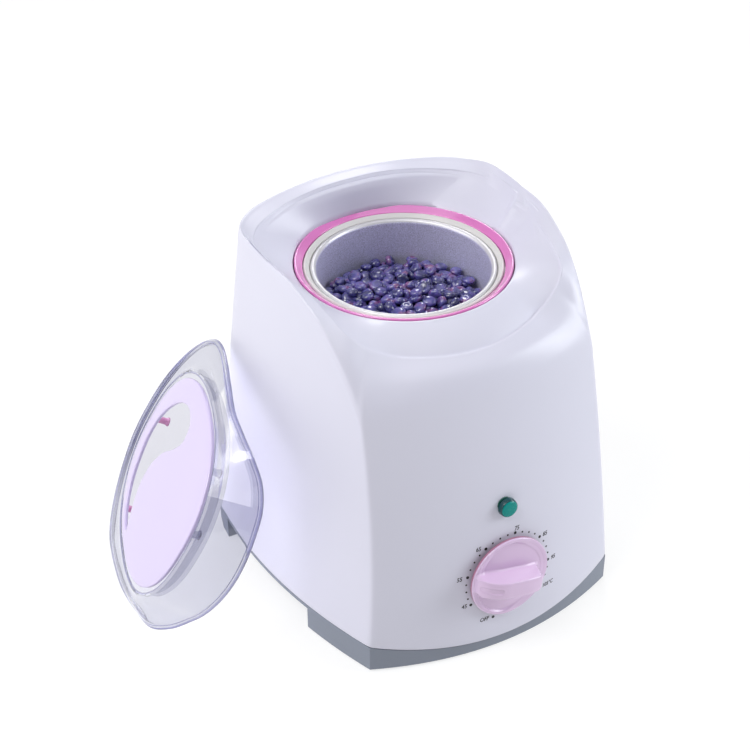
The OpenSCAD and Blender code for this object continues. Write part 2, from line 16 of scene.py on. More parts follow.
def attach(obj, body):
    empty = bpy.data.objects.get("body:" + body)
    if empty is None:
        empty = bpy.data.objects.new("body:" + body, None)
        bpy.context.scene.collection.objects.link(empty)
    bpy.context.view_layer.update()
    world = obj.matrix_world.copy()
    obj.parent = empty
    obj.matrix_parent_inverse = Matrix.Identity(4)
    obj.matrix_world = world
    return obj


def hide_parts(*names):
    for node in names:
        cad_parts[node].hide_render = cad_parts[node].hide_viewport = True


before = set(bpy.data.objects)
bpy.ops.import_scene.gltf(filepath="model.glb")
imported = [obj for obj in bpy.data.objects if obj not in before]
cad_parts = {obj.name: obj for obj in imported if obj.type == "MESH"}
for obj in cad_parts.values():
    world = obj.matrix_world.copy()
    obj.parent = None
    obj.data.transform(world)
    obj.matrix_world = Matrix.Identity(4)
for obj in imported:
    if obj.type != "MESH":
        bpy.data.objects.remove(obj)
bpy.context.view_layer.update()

scene = bpy.context.scene
rng = np.random.default_rng(11)
MM = 0.001
FOOT_H = 1.5  # the rubber feet lift everything by this much
AIM_H = 110.0  # the lights look at this height on the middle of the housing
ROUND = 2 * math.pi


def new_object(name, data):
    obj = bpy.data.objects.new(name, data)
    scene.collection.objects.link(obj)
    return obj


# ---------- camera and lights ----------
def aim(azimuth, elevation, roll=0.0):
    """Columns right, up, back of a camera that looks at the object."""
    a, e, r = (math.radians(v) for v in (azimuth, elevation, roll))
    back = np.array([math.sin(a) * math.cos(e), -math.cos(a) * math.cos(e), math.sin(e)])
    right = np.array([math.cos(a), math.sin(a), 0.0])
    up = np.cross(back, right)
    return (math.cos(r) * right + math.sin(r) * up,
            math.cos(r) * up - math.sin(r) * right, back)


def placed(right, up, back, place):
    m = Matrix.Identity(4)
    for col, v in enumerate((right, up, back, np.array(place) * MM)):
        for row in range(3):
            m[row][col] = float(v[row])
    return m


camera_data = bpy.data.cameras.new("camera")
camera_data.sensor_width = 36
camera_data.lens = 76.8
camera_data.clip_end = 20
camera = new_object("camera", camera_data)
camera.matrix_world = placed(*aim(-28.57, 35.48, -0.25), (-352.8, -616.1, 610.0))
scene.camera = camera


def softbox(name, azimuth, elevation, distance, size, power, colour=(1, 1, 1)):
    """An area light that looks at the middle of the housing; angles in degrees, power in watts."""
    data = bpy.data.lights.new(name, "AREA")
    data.shape = "RECTANGLE"
    data.size, data.size_y = (v * MM for v in size)
    data.energy = power
    data.color = colour
    light = new_object(name, data)
    right, up, back = aim(azimuth, elevation)
    light.matrix_world = placed(right, up, back, back * distance + np.array([0, 0, AIM_H]))


softbox("key_left", -112, 28, 1300, (900, 900), 7.9)
softbox("left_top", -75, 55, 1400, (600, 600), 8.0)
softbox("fill_right", 62, 22, 1500, (700, 900), 15.0, (0.94, 0.98, 1.0))
softbox("window_back", 150, 40, 1300, (300, 500), 4.2)
sky_data = bpy.data.lights.new("overhead", "SUN")
sky_data.energy = 0.75
sky_data.angle = math.radians(60)
sky = new_object("overhead", sky_data)
sky.matrix_world = placed(*aim(-40, 82), (0, 0, 1000))

world = bpy.data.worlds.new("studio")
scene.world = world
world.use_nodes = True
surroundings = world.node_tree.nodes["Background"]
surroundings.inputs["Color"].default_value = (0.93, 0.94, 1.0, 1)
surroundings.inputs["Strength"].default_value = 0.4
world.cycles_visibility.diffuse = False  # the surroundings only show in reflections
scene.view_settings.view_transform = "Standard"


# ---------- materials ----------
def set_inputs(node, values):
    for key, value in values.items():
        node.inputs[key.replace("_", " ")].default_value = value


def nodes_of(name):
    """A new material, its node tree and its shader."""
    m = bpy.data.materials.new(name)
    m.use_nodes = True
    tree = m.node_tree
    return m, tree, tree.nodes["Principled BSDF"]


def spots(tree, scale, detail=3.0, roughness=0.55, stretch=(1, 1, 1)):
    """Noise in the object's own coordinates, in metres."""
    place = tree.nodes.new("ShaderNodeTexCoord")
    turn = tree.nodes.new("ShaderNodeMapping")
    turn.inputs["Scale"].default_value = stretch
    tree.links.new(place.outputs["Object"], turn.inputs["Vector"])
    noise = tree.nodes.new("ShaderNodeTexNoise")
    set_inputs(noise, {"Scale": scale, "Detail": detail, "Roughness": roughness})
    tree.links.new(turn.outputs["Vector"], noise.inputs["Vector"])
    return noise.outputs["Fac"]


def ramp(tree, fac, stops):
    """A colour that runs through stops [(position, colour), ...]."""
    node = tree.nodes.new("ShaderNodeValToRGB")
    elements = node.color_ramp.elements
    for element, (at, colour) in zip((elements[0], elements[1]), (stops[0], stops[-1])):
        element.position, element.color = at, (*colour, 1)
    for at, colour in stops[1:-1]:
        elements.new(at).color = (*colour, 1)
    tree.links.new(fac, node.inputs["Fac"])
    return node.outputs["Color"]


def spread(tree, fac, low, high):
    """A value that the noise moves between low and high."""
    node = tree.nodes.new("ShaderNodeMapRange")
    set_inputs(node, {"From_Min": 0.3, "From_Max": 0.7, "To_Min": low, "To_Max": high})
    tree.links.new(fac, node.inputs["Value"])
    return node.outputs["Result"]


def relief(tree, shader, fac, depth, strength):
    """Bumps of a depth in millimetres, or none at strength 0."""
    if not strength:
        return
    node = tree.nodes.new("ShaderNodeBump")
    set_inputs(node, {"Strength": strength, "Distance": depth * MM})
    tree.links.new(fac, node.inputs["Height"])
    tree.links.new(node.outputs["Normal"], shader.inputs["Normal"])


def shade(colour, k):
    return tuple(min(1.0, c * k) for c in colour)


def tint(tree, shader, fac, low, high):
    """Base colour between two stops, by the noise."""
    tree.links.new(ramp(tree, fac, [low, high]), shader.inputs["Base Color"])


def moulded(name, colour, rough, vary, patch, grain, depth, strength, **uniform):
    """Moulded plastic, rubber or ceramic: cloudy colour (scale patch), fine grain in the rest."""
    m, tree, shader = nodes_of(name)
    cloud = spots(tree, patch)
    tint(tree, shader, cloud, (0.3, shade(colour, 1 - vary)), (0.7, shade(colour, 1 + vary)))
    fine = spots(tree, grain, 2.0)
    tree.links.new(spread(tree, fine, *rough), shader.inputs["Roughness"])
    relief(tree, shader, fine, depth, strength)
    set_inputs(shader, uniform)
    return m


def metal(name, colour, rough, stretch=(1, 1, 1), grain=500, depth=0.02, strength=0.3,
          vary=0.08, **uniform):
    """Bare metal, with one noise for its colour, roughness and relief."""
    m, tree, shader = nodes_of(name)
    fine = spots(tree, grain, 4.0, 0.7, stretch)
    tint(tree, shader, fine, (0.35, shade(colour, 1 - vary)), (0.65, shade(colour, 1 + vary)))
    tree.links.new(spread(tree, fine, *rough), shader.inputs["Roughness"])
    relief(tree, shader, fine, depth, strength)
    shader.inputs["Metallic"].default_value = 1.0
    set_inputs(shader, uniform)
    return m


WHITE = moulded("white_abs", (0.68, 0.675, 0.79), (0.34, 0.42), 0.008, 12, 700, 0.01, 0.08,
                Coat_Weight=0.1, Coat_Roughness=0.22)
GREY = moulded("grey_abs", (0.215, 0.24, 0.30), (0.42, 0.55), 0.03, 20, 1600, 0.03, 0.3)
RUBBER = moulded("black_rubber", (0.018, 0.018, 0.02), (0.65, 0.85), 0.15, 60, 1200, 0.05, 0.5)
PINK = moulded("pink_acrylic", (0.72, 0.20, 0.54), (0.10, 0.16), 0.03, 20, 600, 0.01, 0.1,
               Coat_Weight=1.0, Coat_Roughness=0.10)
CREAM = moulded("cream_collar", (0.67, 0.655, 0.65), (0.3, 0.42), 0.02, 30, 1500, 0.02, 0.2)
# painted shade: a darker red for the low outer wall of the knob's skirt, standing for the shadow line under
# its rim
KNOB_PAINTED_SHADE = moulded("lilac_knob_painted_shade", (0.40, 0.17, 0.27), (0.3, 0.4), 0.02, 20, 900, 0.01, 0.1)
KNOB = moulded("lilac_knob", (0.70, 0.52, 0.74), (0.2, 0.26), 0.012, 20, 900, 0.01, 0.0,
               Coat_Weight=0.5, Coat_Roughness=0.1)
INK = moulded("black_ink", (0.012, 0.012, 0.016), (0.4, 0.6), 0.3, 300, 2500, 0.005, 0.1)
BLASTED = metal("blasted_aluminium", (0.62, 0.61, 0.77), (0.45, 0.62), grain=1900, depth=0.08,
                strength=0.9, vary=0.3, Metallic=0.5)
SPUN = metal("spun_aluminium", (0.66, 0.65, 0.68), (0.34, 0.46), grain=700, depth=0.01,
             vary=0.03, Metallic=0.35)
STEEL = metal("zinc_steel", (0.62, 0.63, 0.66), (0.28, 0.45), grain=900)
BRASS = metal("brass", (0.75, 0.56, 0.26), (0.22, 0.4), grain=700)
COPPER = metal("copper", (0.80, 0.42, 0.27), (0.25, 0.42), grain=800)
WELL = metal("drawn_aluminium", (0.70, 0.71, 0.73), (0.3, 0.5), (1, 1, 0.05), 900)
MICA = moulded("mica_band", (0.33, 0.22, 0.12), (0.35, 0.6), 0.35, 180, 800, 0.05, 0.4)
WOOL = moulded("glass_wool", (0.78, 0.76, 0.62), (0.85, 1.0), 0.12, 250, 1500, 0.5, 0.9)
CERAMIC = moulded("steatite", (0.84, 0.82, 0.76), (0.3, 0.45), 0.03, 100, 1200, 0.03, 0.3)
RESIN = moulded("thermostat_resin", (0.78, 0.74, 0.62), (0.35, 0.5), 0.04, 90, 1000, 0.03, 0.3)
NYLON = moulded("nylon", (0.84, 0.84, 0.80), (0.35, 0.5), 0.02, 80, 1000, 0.03, 0.3)
BUSH = moulded("black_nylon", (0.03, 0.03, 0.034), (0.35, 0.5), 0.1, 80, 1000, 0.03, 0.3)
RED = moulded("red_wire", (0.55, 0.03, 0.03), (0.3, 0.45), 0.05, 90, 900, 0.03, 0.2)
BLUE = moulded("blue_wire", (0.05, 0.12, 0.50), (0.3, 0.45), 0.05, 90, 900, 0.03, 0.2)
PALE = moulded("white_wire", (0.82, 0.81, 0.78), (0.35, 0.5), 0.04, 90, 900, 0.03, 0.2)
NEON = moulded("neon_body", (0.02, 0.10, 0.08), (0.2, 0.35), 0.1, 90, 900, 0.02, 0.2)
PLATE = moulded("lilac_plate", (0.66, 0.575, 0.84), (0.16, 0.24), 0.01, 12, 700, 0.01, 0.1,
                Coat_Weight=0.5, Coat_Roughness=0.08)
# painted shade: a dark blue for thin cords that stand for the dark lines the clear lid's edges show by
# refraction
LID_PAINTED_DARK_LINE = moulded("lid_painted_dark_line", (0.27, 0.27, 0.42), (0.08, 0.14), 0.25, 60, 900, 0.01, 0.1,
                   Coat_Weight=1.0, Coat_Roughness=0.04)
POST = moulded("pink_post", (0.62, 0.28, 0.48), (0.2, 0.3), 0.03, 60, 900, 0.01, 0.1)


def clear(name, colour, rough, ior, **uniform):
    """Tinted clear plastic; a low ior stands for a thin wall that hardly bends light."""
    m, tree, shader = nodes_of(name)
    fine = spots(tree, 160, 2.0)
    tint(tree, shader, fine, (0.3, shade(colour, 0.985)), (0.7, colour))
    tree.links.new(spread(tree, fine, *rough), shader.inputs["Roughness"])
    relief(tree, shader, spots(tree, 25, 1.0), 0.1, 0.05)
    set_inputs(shader, {"Transmission_Weight": 1.0, "IOR": ior, **uniform})
    return m


CLEAR = clear("clear_lid", (0.62, 0.625, 0.71), (0.0, 0.03), 1.08,
              Coat_Weight=1.0, Coat_Roughness=0.04)
# painted light: a paler copy of the clear plastic without reflection for the pocket's wall and floor, so
# that they show no dark band
CLEAR_PAINTED_LIGHT_POCKET = clear("clear_lid_pocket_painted_light", (0.74, 0.74, 0.80), (0.0, 0.02), 1.01,
                   Specular_IOR_Level=0.0)
# painted highlight: a paler copy of the clear plastic for the light on the flange's right part
CLEAR_LIT = clear("clear_lid_lit", (0.88, 0.88, 0.92), (0.0, 0.03), 1.08,
                  Coat_Weight=1.0, Coat_Roughness=0.2)
# painted shade: a dark indigo copy of the clear plastic for the dark refraction lines at the rim's lip and
# the flat top's edge
CLEAR_PAINTED_DARK_EDGE = clear("clear_lid_painted_dark_edge", (0.30, 0.30, 0.52), (0.02, 0.06), 1.16,
                   Coat_Weight=1.0, Coat_Roughness=0.03)
LENS = moulded("green_lens", (0.0, 0.21, 0.19), (0.22, 0.3), 0.03, 60, 900, 0.01, 0.0,
               Specular_IOR_Level=0.2, Emission_Color=(0.0, 0.32, 0.30, 1), Emission_Strength=0.12)
# painted shade: a dark green for the lens's outer edge and side wall, standing for the dark ring at its edge
LENS_PAINTED_SHADE = moulded("green_lens_painted_shade", (0.0, 0.055, 0.065), (0.1, 0.16), 0.1, 60, 900, 0.01, 0.0)

floor_material, floor_tree, floor_shader = nodes_of("white_table")
tint(floor_tree, floor_shader, spots(floor_tree, 6), (0.3, (0.25,) * 3), (0.7, (0.26,) * 3))
set_inputs(floor_shader, {"Roughness": 0.75, "Emission_Color": (1, 1, 1, 1), "Emission_Strength": 0.75})


# ---------- mesh helpers ----------
def make(name, points, faces, body, finish, stands_for=(), slot=None, smooth=True):
    """A mesh piece from points in millimetres, riding on a CAD body."""
    mesh = bpy.data.meshes.new(name)
    mesh.from_pydata((np.asarray(points, float) * MM).tolist(), [], [list(map(int, f)) for f in faces])
    mesh.validate()
    work = bmesh.new()
    work.from_mesh(mesh)
    bmesh.ops.recalc_face_normals(work, faces=work.faces)
    work.to_mesh(mesh)
    work.free()
    mesh.update()
    if smooth:
        mesh.shade_smooth()
    mesh.materials.append(finish)
    obj = new_object(name, mesh)
    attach(obj, body)
    if stands_for:
        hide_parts(*stands_for)
    return obj


def grid(cols, rows, start=0, closed=True, flip=False):
    """Quads of a grid of points stored column by column; closed joins the last column to the first."""
    i = np.arange(cols if closed else cols - 1)[:, None]
    j = np.arange(rows - 1)[None, :]
    a = start + i * rows + j
    c = start + ((i + 1) % cols) * rows + j
    quads = np.stack([a, a + 1, c + 1, c] if flip else [a, c, c + 1, a + 1], -1)
    return quads.reshape(-1, 4).tolist()


def seam(cols, rows):
    """Quads that join the last row of a closed grid to its first."""
    starts = [(i * rows, (i + 1) % cols * rows) for i in range(cols)]
    return [[a + rows - 1, c + rows - 1, c, a] for a, c in starts]


def joined(parts):
    """Points and faces of several (points, faces) as one pair."""
    points, faces = [], []
    for more_points, more_faces in parts:
        first = sum(map(len, points))
        points.append(np.asarray(more_points, float))
        faces += [[v + first for v in f] for f in more_faces]
    return np.concatenate(points), faces


def paint(obj, rows, count, first, last, slot):
    """Another material for the faces between two rows of the grid that the first count points form."""
    for face in obj.data.polygons:
        at = [v % rows for v in face.vertices if v < count]
        if at and first <= min(at) and max(at) <= last:
            face.material_index = slot


def hermite(a, b, slope_a, slope_b, s):
    """A cubic from a to b with the given slopes at its ends, at shares s."""
    return (a * (2 * s**3 - 3 * s * s + 1) + b * (3 * s * s - 2 * s**3)
            + slope_a * (s**3 - 2 * s * s + s) + slope_b * (s**3 - s * s))


def catmull(knots, per_segment):
    """A smooth curve through knots[..., k, 3], chord length spacing."""
    k = np.asarray(knots, float)
    d = np.maximum(np.linalg.norm(np.diff(k, axis=-2), axis=-1), 1e-6)[..., None]
    slope = np.diff(k, axis=-2) / d
    inner = (slope[..., :-1, :] * d[..., 1:, :] + slope[..., 1:, :] * d[..., :-1, :]) / (
        d[..., 1:, :] + d[..., :-1, :])
    tangent = np.concatenate([slope[..., :1, :], inner, slope[..., -1:, :]], axis=-2)
    out = []
    for n in range(k.shape[-2] - 1):
        first, last, chord = k[..., n, :], k[..., n + 1, :], d[..., n, :]
        for share in np.arange(per_segment[n]) / per_segment[n]:
            out.append(hermite(first, last, tangent[..., n, :] * chord,
                               tangent[..., n + 1, :] * chord, share))
    out.append(k[..., -1, :])
    return np.stack(out, axis=-2)


def ring_of(outline, turns):
    """Points and faces of a closed outline [(r, h), ...] turned about the well's axis."""
    ring, faces = [], []
    n = len(outline)
    for i, a in enumerate(np.linspace(0, ROUND, turns, endpoint=False)):
        ring += [(r * math.sin(a), -r * math.cos(a), h + FOOT_H) for r, h in outline]
        here, there = i * n, (i + 1) % turns * n
        for j in range(n):
            k = (j + 1) % n
            faces.append([here + j, there + j, there + k, here + k])
    return ring, faces


def lathe(name, outline, body, finish, stands_for, slot):
    """A piece with a closed outline [(r, h), ...], turned about the well's axis."""
    return make(name, *ring_of(outline, 192), body, finish, stands_for, slot)


def rounded(corners, radius, steps=4):
    """The closed outline [(r, h) or (r, h, its own radius), ...] with its corners rounded."""
    out = []
    n = len(corners)
    for i in range(n):
        p0, p1, p2 = (np.array(corners[(i + k) % n][:2], float) for k in (-1, 0, 1))
        r = corners[i][2] if len(corners[i]) > 2 else radius
        a, b = p0 - p1, p2 - p1
        la, lb = np.linalg.norm(a), np.linalg.norm(b)
        cut = min(r, la * 0.45, lb * 0.45)
        for s in np.linspace(0, 1, steps + 1) if cut > 1e-4 else [0.5]:
            q = p1 + a / la * cut * (1 - s) ** 2 + b / lb * cut * s**2
            out.append((float(q[0]), float(q[1])))
    return out


# ---------- the housing's surface ----------
HALF_W, FRONT, BACK, LEAN = 95.8, 113.0, 68.0, 0.107  # at the plinth; LEAN: inward per mm up
PLINTH, SIDE_R, FACE_R, WIDEST = 16.0, 273.0, 172.0, 12.0
FACE_LEAN, FACE_CURL = 0.0717, 0.00076  # the front wall's slope and its growth
REAR_BLEND = 22.0  # softens the corner of side and back
CREST_H, SHOULDER_H, RING_H, RING_R, WALL_T = 196.0, 150.0, 176.0, 57.0, 2.6
RING_GAP = 0.55
FRONT_DIP, ROLL_H, ROLL_SHARE = 9.7, 9.0, 0.06  # lower edge in front; shoulder's roll
TURN_DROPS = 22, 12, 3.4  # knots below the walls' top, where they start to turn in
# seat of the lid: angle from the front, radius, height (the left side mirrors the right)
SEAT_LINE = np.array([
    (0, 76, 165.5), (24, 76.4, 167), (33, 76.8, 168.3), (42, 80.6, 174), (49, 82, 181),
    (58, 76.8, 186), (70, 72, 190), (86, 71.2, 191), (98, 73.6, 191), (110, 77, 191),
    (122, 77.3, 191), (134, 72.9, 192), (146, 68, 193.2), (162, 62, 195), (180, 59.5, 195.5)])
# top of the walls: angle from the front, height
CREST_LINE = np.array([
    (41.6, 150), (43, 156), (44.4, 162), (45.8, 167.5), (47.8, 173.5), (50.3, 179), (53, 183),
    (57.1, 188), (62, 191), (69, 194.4), (76, 196.3), (90, 196), (114, 196), (124, 194.5),
    (132, 194.7), (150, 196), (180, 197)])


def look_up(table, phi, col):
    """Smooth interpolation in a table whose first column rises."""
    x, y = table[:, 0], table[:, col]
    m = np.zeros(len(x))
    m[1:-1] = (y[2:] - y[:-2]) / (x[2:] - x[:-2])
    i = np.clip(np.searchsorted(x, phi, side="right") - 1, 0, len(x) - 2)
    w = x[i + 1] - x[i]
    s = np.clip((phi - x[i]) / w, 0, 1)
    return hermite(y[i], y[i + 1], m[i] * w, m[i + 1] * w, s)


def side_x(y, h):
    """Half width of the housing at a depth and a height."""
    return HALF_W - (y - WIDEST) ** 2 / (2 * SIDE_R) - LEAN * (h - PLINTH)


def front_y(x, h):
    """Depth of the front wall, a bulge that leans back more and more."""
    rise = h - PLINTH
    return -FRONT + FACE_LEAN * rise + FACE_CURL * rise**2 + x * x / (2 * FACE_R)


def corner_x(h):
    """Where the side and the front meet, by repeated trial."""
    x = 70 + 0 * h
    for _ in range(9):
        x = side_x(front_y(x, h), h)
    return x


def root(a, b, c):
    """The positive root of a x^2 + b x = c."""
    return 2 * c / (b + np.sqrt(b * b + 4 * a * c) + 1e-6)


def plan_point(phi, h):
    """The side and back walls at an angle from the front."""
    s, c = np.sin(np.radians(phi)), np.cos(np.radians(phi))
    side = root(c * c / (2 * SIDE_R), s + c * WIDEST / SIDE_R,
                HALF_W - LEAN * (h - PLINTH) - WIDEST**2 / (2 * SIDE_R))
    rear = root(s * s / (2 * FACE_R), -c, BACK + LEAN * (CREST_H - h))
    near = np.maximum(REAR_BLEND - np.abs(side - rear), 0)
    reach = np.minimum(side, rear) - near**2 / (4 * REAR_BLEND)
    return reach * s, -reach * c


def column_angle(u, h):
    """Angle of column u, which is 0 at the front, 1 at the corner and 2 at the back."""
    x = corner_x(h)
    corner = np.degrees(np.arctan2(x, -front_y(x, h)))
    front = np.degrees(np.arctan2(u * x, -front_y(u * x, h)))
    return np.where(u < 1, front, corner + (180 - corner) * (u - 1))


def wall_point(u, h):
    """Points of the walls at columns u and heights h."""
    h = h + 0 * u
    x = u * corner_x(h)
    sx, sy = plan_point(np.maximum(column_angle(u, h), 30), h)
    return np.stack([np.where(u < 1, x, sx), np.where(u < 1, front_y(x, h), sy), h], -1)


def mix(a, b, t):
    return a + (b - a) * t


def spatula_rest(phi, right_side):
    """How much of the seat's step is left, and how far it shifts, near the spatula's rest."""
    if not right_side:
        return 1 + 0 * phi, 0 * phi

    def near(a, w):
        return np.exp(-((phi - a) / w) ** 2)

    left = 1 - np.clip(1.25 * near(85.5, 3.2), 0, 1)
    shift = -3.2 * near(91.5, 2.4) + 1.0 * near(80, 4)
    return left, shift


def half_skin(u, right_side, inset=0.0):
    """Columns of the outer (or inset) skin, from the bottom edge to the well's hole."""
    phi = column_angle(u, SHOULDER_H)
    top = np.where(u <= 1, SHOULDER_H, look_up(CREST_LINE, phi, 1))
    low = PLINTH - np.where(u < 1, FRONT_DIP * (1 - u * u), 0)
    left, shift = spatula_rest(phi, right_side)
    seat_r = look_up(SEAT_LINE, phi, 1) + shift
    s, c = np.sin(np.radians(phi)), np.cos(np.radians(phi))
    seat = np.stack([seat_r * s, -seat_r * c, look_up(SEAT_LINE, phi, 2)], -1)
    crest = wall_point(u, top)
    roll = ROLL_H * np.maximum(0, 1 - np.maximum(0, u - 1) / ROLL_SHARE)
    knee = mix(crest, seat, 0.15)
    knee[:, 2] = mix(seat[:, 2], top, 0.85) + roll
    turn_1 = crest * 0.75 + knee * 0.2 + seat * 0.05
    turn_2 = crest * 0.2 + knee * 0.5 + seat * 0.3
    walls = [wall_point(u, mix(low + 0.6, top - TURN_DROPS[0], t)) for t in np.linspace(0, 1, 16)]
    knots = [wall_point(u, top - drop) for drop in TURN_DROPS] + [turn_1, turn_2, seat]
    over = catmull(np.stack(knots, 1), [3, 6, 7, 9, 9])[:, 1:]
    inward = -np.stack([s, -c, 0 * s], -1)
    up = np.array([0, 0, 1.0])
    drop = up * left[:, None]
    step = [seat + inward * 0.28 - drop * 0.10, seat + inward * 0.42 - drop * 0.40,
            seat + inward * 0.52 - drop * 0.85, seat + inward * 0.85 - drop * 1.0]
    start = step[-1]
    hole_r = RING_R + RING_GAP
    hole = np.stack([hole_r * s, -hole_r * c, RING_H + 0 * s], -1)
    deck = mix(start, hole, 0.5)
    deck[:, 2] = mix(RING_H, seat[:, 2], 0.42)
    t = np.linspace(0, 1, 15)[1:-1]
    bowl = [start * (1 - v) * (1 - 2 * v) + deck * 4 * v * (1 - v) + hole * v * (2 * v - 1) for v in t]
    edge = [hole - inward * 0.5 + up * 0.05, hole - inward * 0.12 - up * 0.2,
            hole - up * 0.7, hole - up * 3.0]
    foot = wall_point(u, low)
    bottom = [foot + inward * 0.55, foot + inward * 0.175 + up * 0.12]
    rows = bottom + walls + list(over.transpose(1, 0, 2)) + step + bowl + edge
    skin = np.stack(rows, 1)
    if inset:
        r = np.hypot(skin[..., 0], skin[..., 1])
        last = skin.shape[1] - 1
        k = (r - inset * 1.05) / r
        fall = np.minimum(1, np.arange(last + 1) / 20.0)
        k[:, -4:] = 1 + 0.3 / r[:, -4:]
        skin = skin * np.stack([k, k, 1 + 0 * k], -1)
        skin[..., 2] -= inset * fall
        skin = skin[:, ::-1]
    return skin


def lengths(line):
    """Length along the line up to each of its points."""
    return np.concatenate([[0], np.cumsum(np.linalg.norm(np.diff(line, axis=0), axis=1))])


def soften(loop, sigma, step=0.25):
    """The closed loop of points, smoothed along its length."""
    closed = np.vstack([loop, loop[:1]])
    s = lengths(closed)
    count = int(s[-1] / step)
    t = np.arange(count) * s[-1] / count
    fine = np.stack([np.interp(t, s, closed[:, k]) for k in range(3)], 1)
    gain = np.exp(-2 * (np.pi * np.fft.rfftfreq(count, s[-1] / count) * sigma) ** 2)
    fine = np.fft.irfft(np.fft.rfft(fine, axis=0) * gain[:, None], n=count, axis=0)
    return np.stack([np.interp(s[:-1], t, fine[:, k], period=s[-1]) for k in range(3)], 1)


# columns of the right half, closer together near the corner
half_front = 1 - (1 - np.linspace(0, 1, 57)) ** 1.7
half_side = 1 + np.linspace(0, 1, 131)[1:] ** 1.45
half_u = np.concatenate([half_front, half_side])


def full_skin(inset=0.0):
    """All columns of a skin; the left half has no spatula's rest."""
    right = half_skin(half_u, True, inset)
    left = half_skin(half_u, False, inset)[::-1][1:-1].copy()
    left[..., 0] *= -1
    return np.concatenate([right, left])


outer = full_skin()
inner = full_skin(WALL_T)
for skin in (outer, inner):
    for j in range(skin.shape[1]):
        skin[:, j] = soften(skin[:, j], 1.5)
# the hidden inside needs only every third row
inner = inner[:, np.r_[1:4, 5:inner.shape[1] - 1:3, inner.shape[1] - 1]]
shell = np.concatenate([outer, inner], 1)
shell[..., 2] += FOOT_H
make("housing_shell", shell.reshape(-1, 3), grid(*shell.shape[:2]) + seam(*shell.shape[:2]), "stand",
     WHITE, ["housing"], "housing_white")


# ---------- ring, collar, pot ----------
POT_R, MOUTH_H, FLANGE_H, COLLAR_R, POT_DEPTH, RING_IN = 45.4, 173.0, 168.4, 52.2, 74.0, 52.6
POT_FLOOR, POT_T, AXIS = MOUTH_H - POT_DEPTH, 1.2, 0.01  # AXIS: radius of a nearly closed centre
UNDER = FLANGE_H + 0.3  # underside of the ring and the collar
lathe("trim_ring_gloss", rounded([
    (RING_IN, RING_H - 2.0, 0.5), (RING_IN + 1.0, RING_H - 1.55, 0.5),
    (RING_R - 0.9, RING_H + 0.55, 0.8), (RING_R, RING_H + 0.1, 0.7), (RING_R, FLANGE_H + 2),
    (RING_R + 3.5, FLANGE_H + 2), (RING_R + 3.5, UNDER), (RING_IN, UNDER)], 0.3),
    "stand", PINK, ["trim_ring"], "trim_pink")
lathe("pot_collar_rim", rounded([
    (POT_R + 1.5, UNDER), (POT_R + 1.5, MOUTH_H - 2.05), (POT_R + 3.6, MOUTH_H - 1.8),
    (POT_R + 3.75, MOUTH_H - 0.3, 0.2), (COLLAR_R - 0.9, MOUTH_H + 1.55, 0.7),
    (COLLAR_R, MOUTH_H + 0.8, 0.6), (COLLAR_R, UNDER)], 0.25),
    "pot", CREAM, ["pot_collar"], "collar_cream")
pot_wall = rounded([
    (POT_R - 3, POT_FLOOR, 0.1), (POT_R, POT_FLOOR + 3, 3), (POT_R + 0.1, MOUTH_H - 1.5, 1.0),
    (POT_R + 1.0, MOUTH_H - 0.2, 0.8), (POT_R + 2, MOUTH_H + 0.1, 0.6),
    (POT_R + 3, MOUTH_H - 0.3, 0.6), (POT_R + 3.4, MOUTH_H - 1.6), (POT_R + 1.4, MOUTH_H - 1.8),
    (POT_R + POT_T, POT_FLOOR + 2.4, 2), (POT_R - 2.4, POT_FLOOR - POT_T, 0.1)], 0.3)
pot = lathe("pot_spun", [(AXIS, POT_FLOOR - POT_T), (AXIS, POT_FLOOR)] + pot_wall, "pot", BLASTED,
            ["wax_pot"], "pot_aluminium")
pot.data.materials.append(SPUN)
for face in pot.data.polygons:  # the rim and the outside are bright, the inside is blasted
    z = face.center.z / MM - FOOT_H
    r = math.hypot(face.center.x, face.center.y) / MM
    face.material_index = int(z > MOUTH_H - 1.3 or r > POT_R + 0.9)

# ---------- wax beads ----------
BEAD_TOP, BEAD_R, WALL_GAP = MOUTH_H - 21.0, 3.6, 0.35
MOST_TRIES, ROUNDISH = 9000, 6.283
LAYERS = [(-7.5, 150, 6.0), (-3.8, 165, 5.6), (-0.6, 190, 5.1), (2.0, 95, 6.6)]  # lift, beads, gap


def bead_shape(radius, thick, dimple, segments):
    """A lentil, or a pressed tablet with a dished face."""
    profile = []
    for t in np.linspace(0.5, -0.5, 11)[1:-1]:
        a = t * math.pi
        z = math.copysign(abs(math.sin(a)) ** 0.9, t)
        profile.append((radius * math.cos(a) ** 0.75, thick / 2 * z))
    n = len(profile)
    pts = [(r * math.cos(a), r * math.sin(a), z)
           for a in np.linspace(0, ROUND, segments, endpoint=False) for r, z in profile]
    quads = grid(segments, n, flip=True)
    top, bottom = len(pts), len(pts) + 1
    pts += [(0, 0, thick / 2 * (0.98 - dimple)), (0, 0, -thick / 2 * 0.98)]
    for i in range(segments):
        c = (i + 1) % segments
        quads.append([i * n, c * n, top])
        quads.append([c * n + n - 1, i * n + n - 1, bottom])
    p = np.array(pts)
    r = np.hypot(p[:, 0], p[:, 1]) / radius
    dish = dimple * thick / 2 * np.clip(1 - (r / 0.62) ** 2, 0, 1)
    p[:, 2] -= np.where(p[:, 2] > 0, dish, 0)
    return p, quads


def turned(axis, angle):
    return np.array(Matrix.Rotation(angle, 3, axis))


def scatter(how_many, gap_min):
    """Chance places in the pot, no two nearer to each other than gap_min."""
    centres, tries = [], 0
    while len(centres) < how_many and tries < MOST_TRIES:
        tries += 1
        r = (POT_R - BEAD_R) * math.sqrt(rng.random())
        a = rng.random() * ROUND
        q = np.array([r * math.cos(a), r * math.sin(a)])
        if all(np.hypot(*(q - c)) > gap_min for c in centres):
            centres.append(q)
    return centres


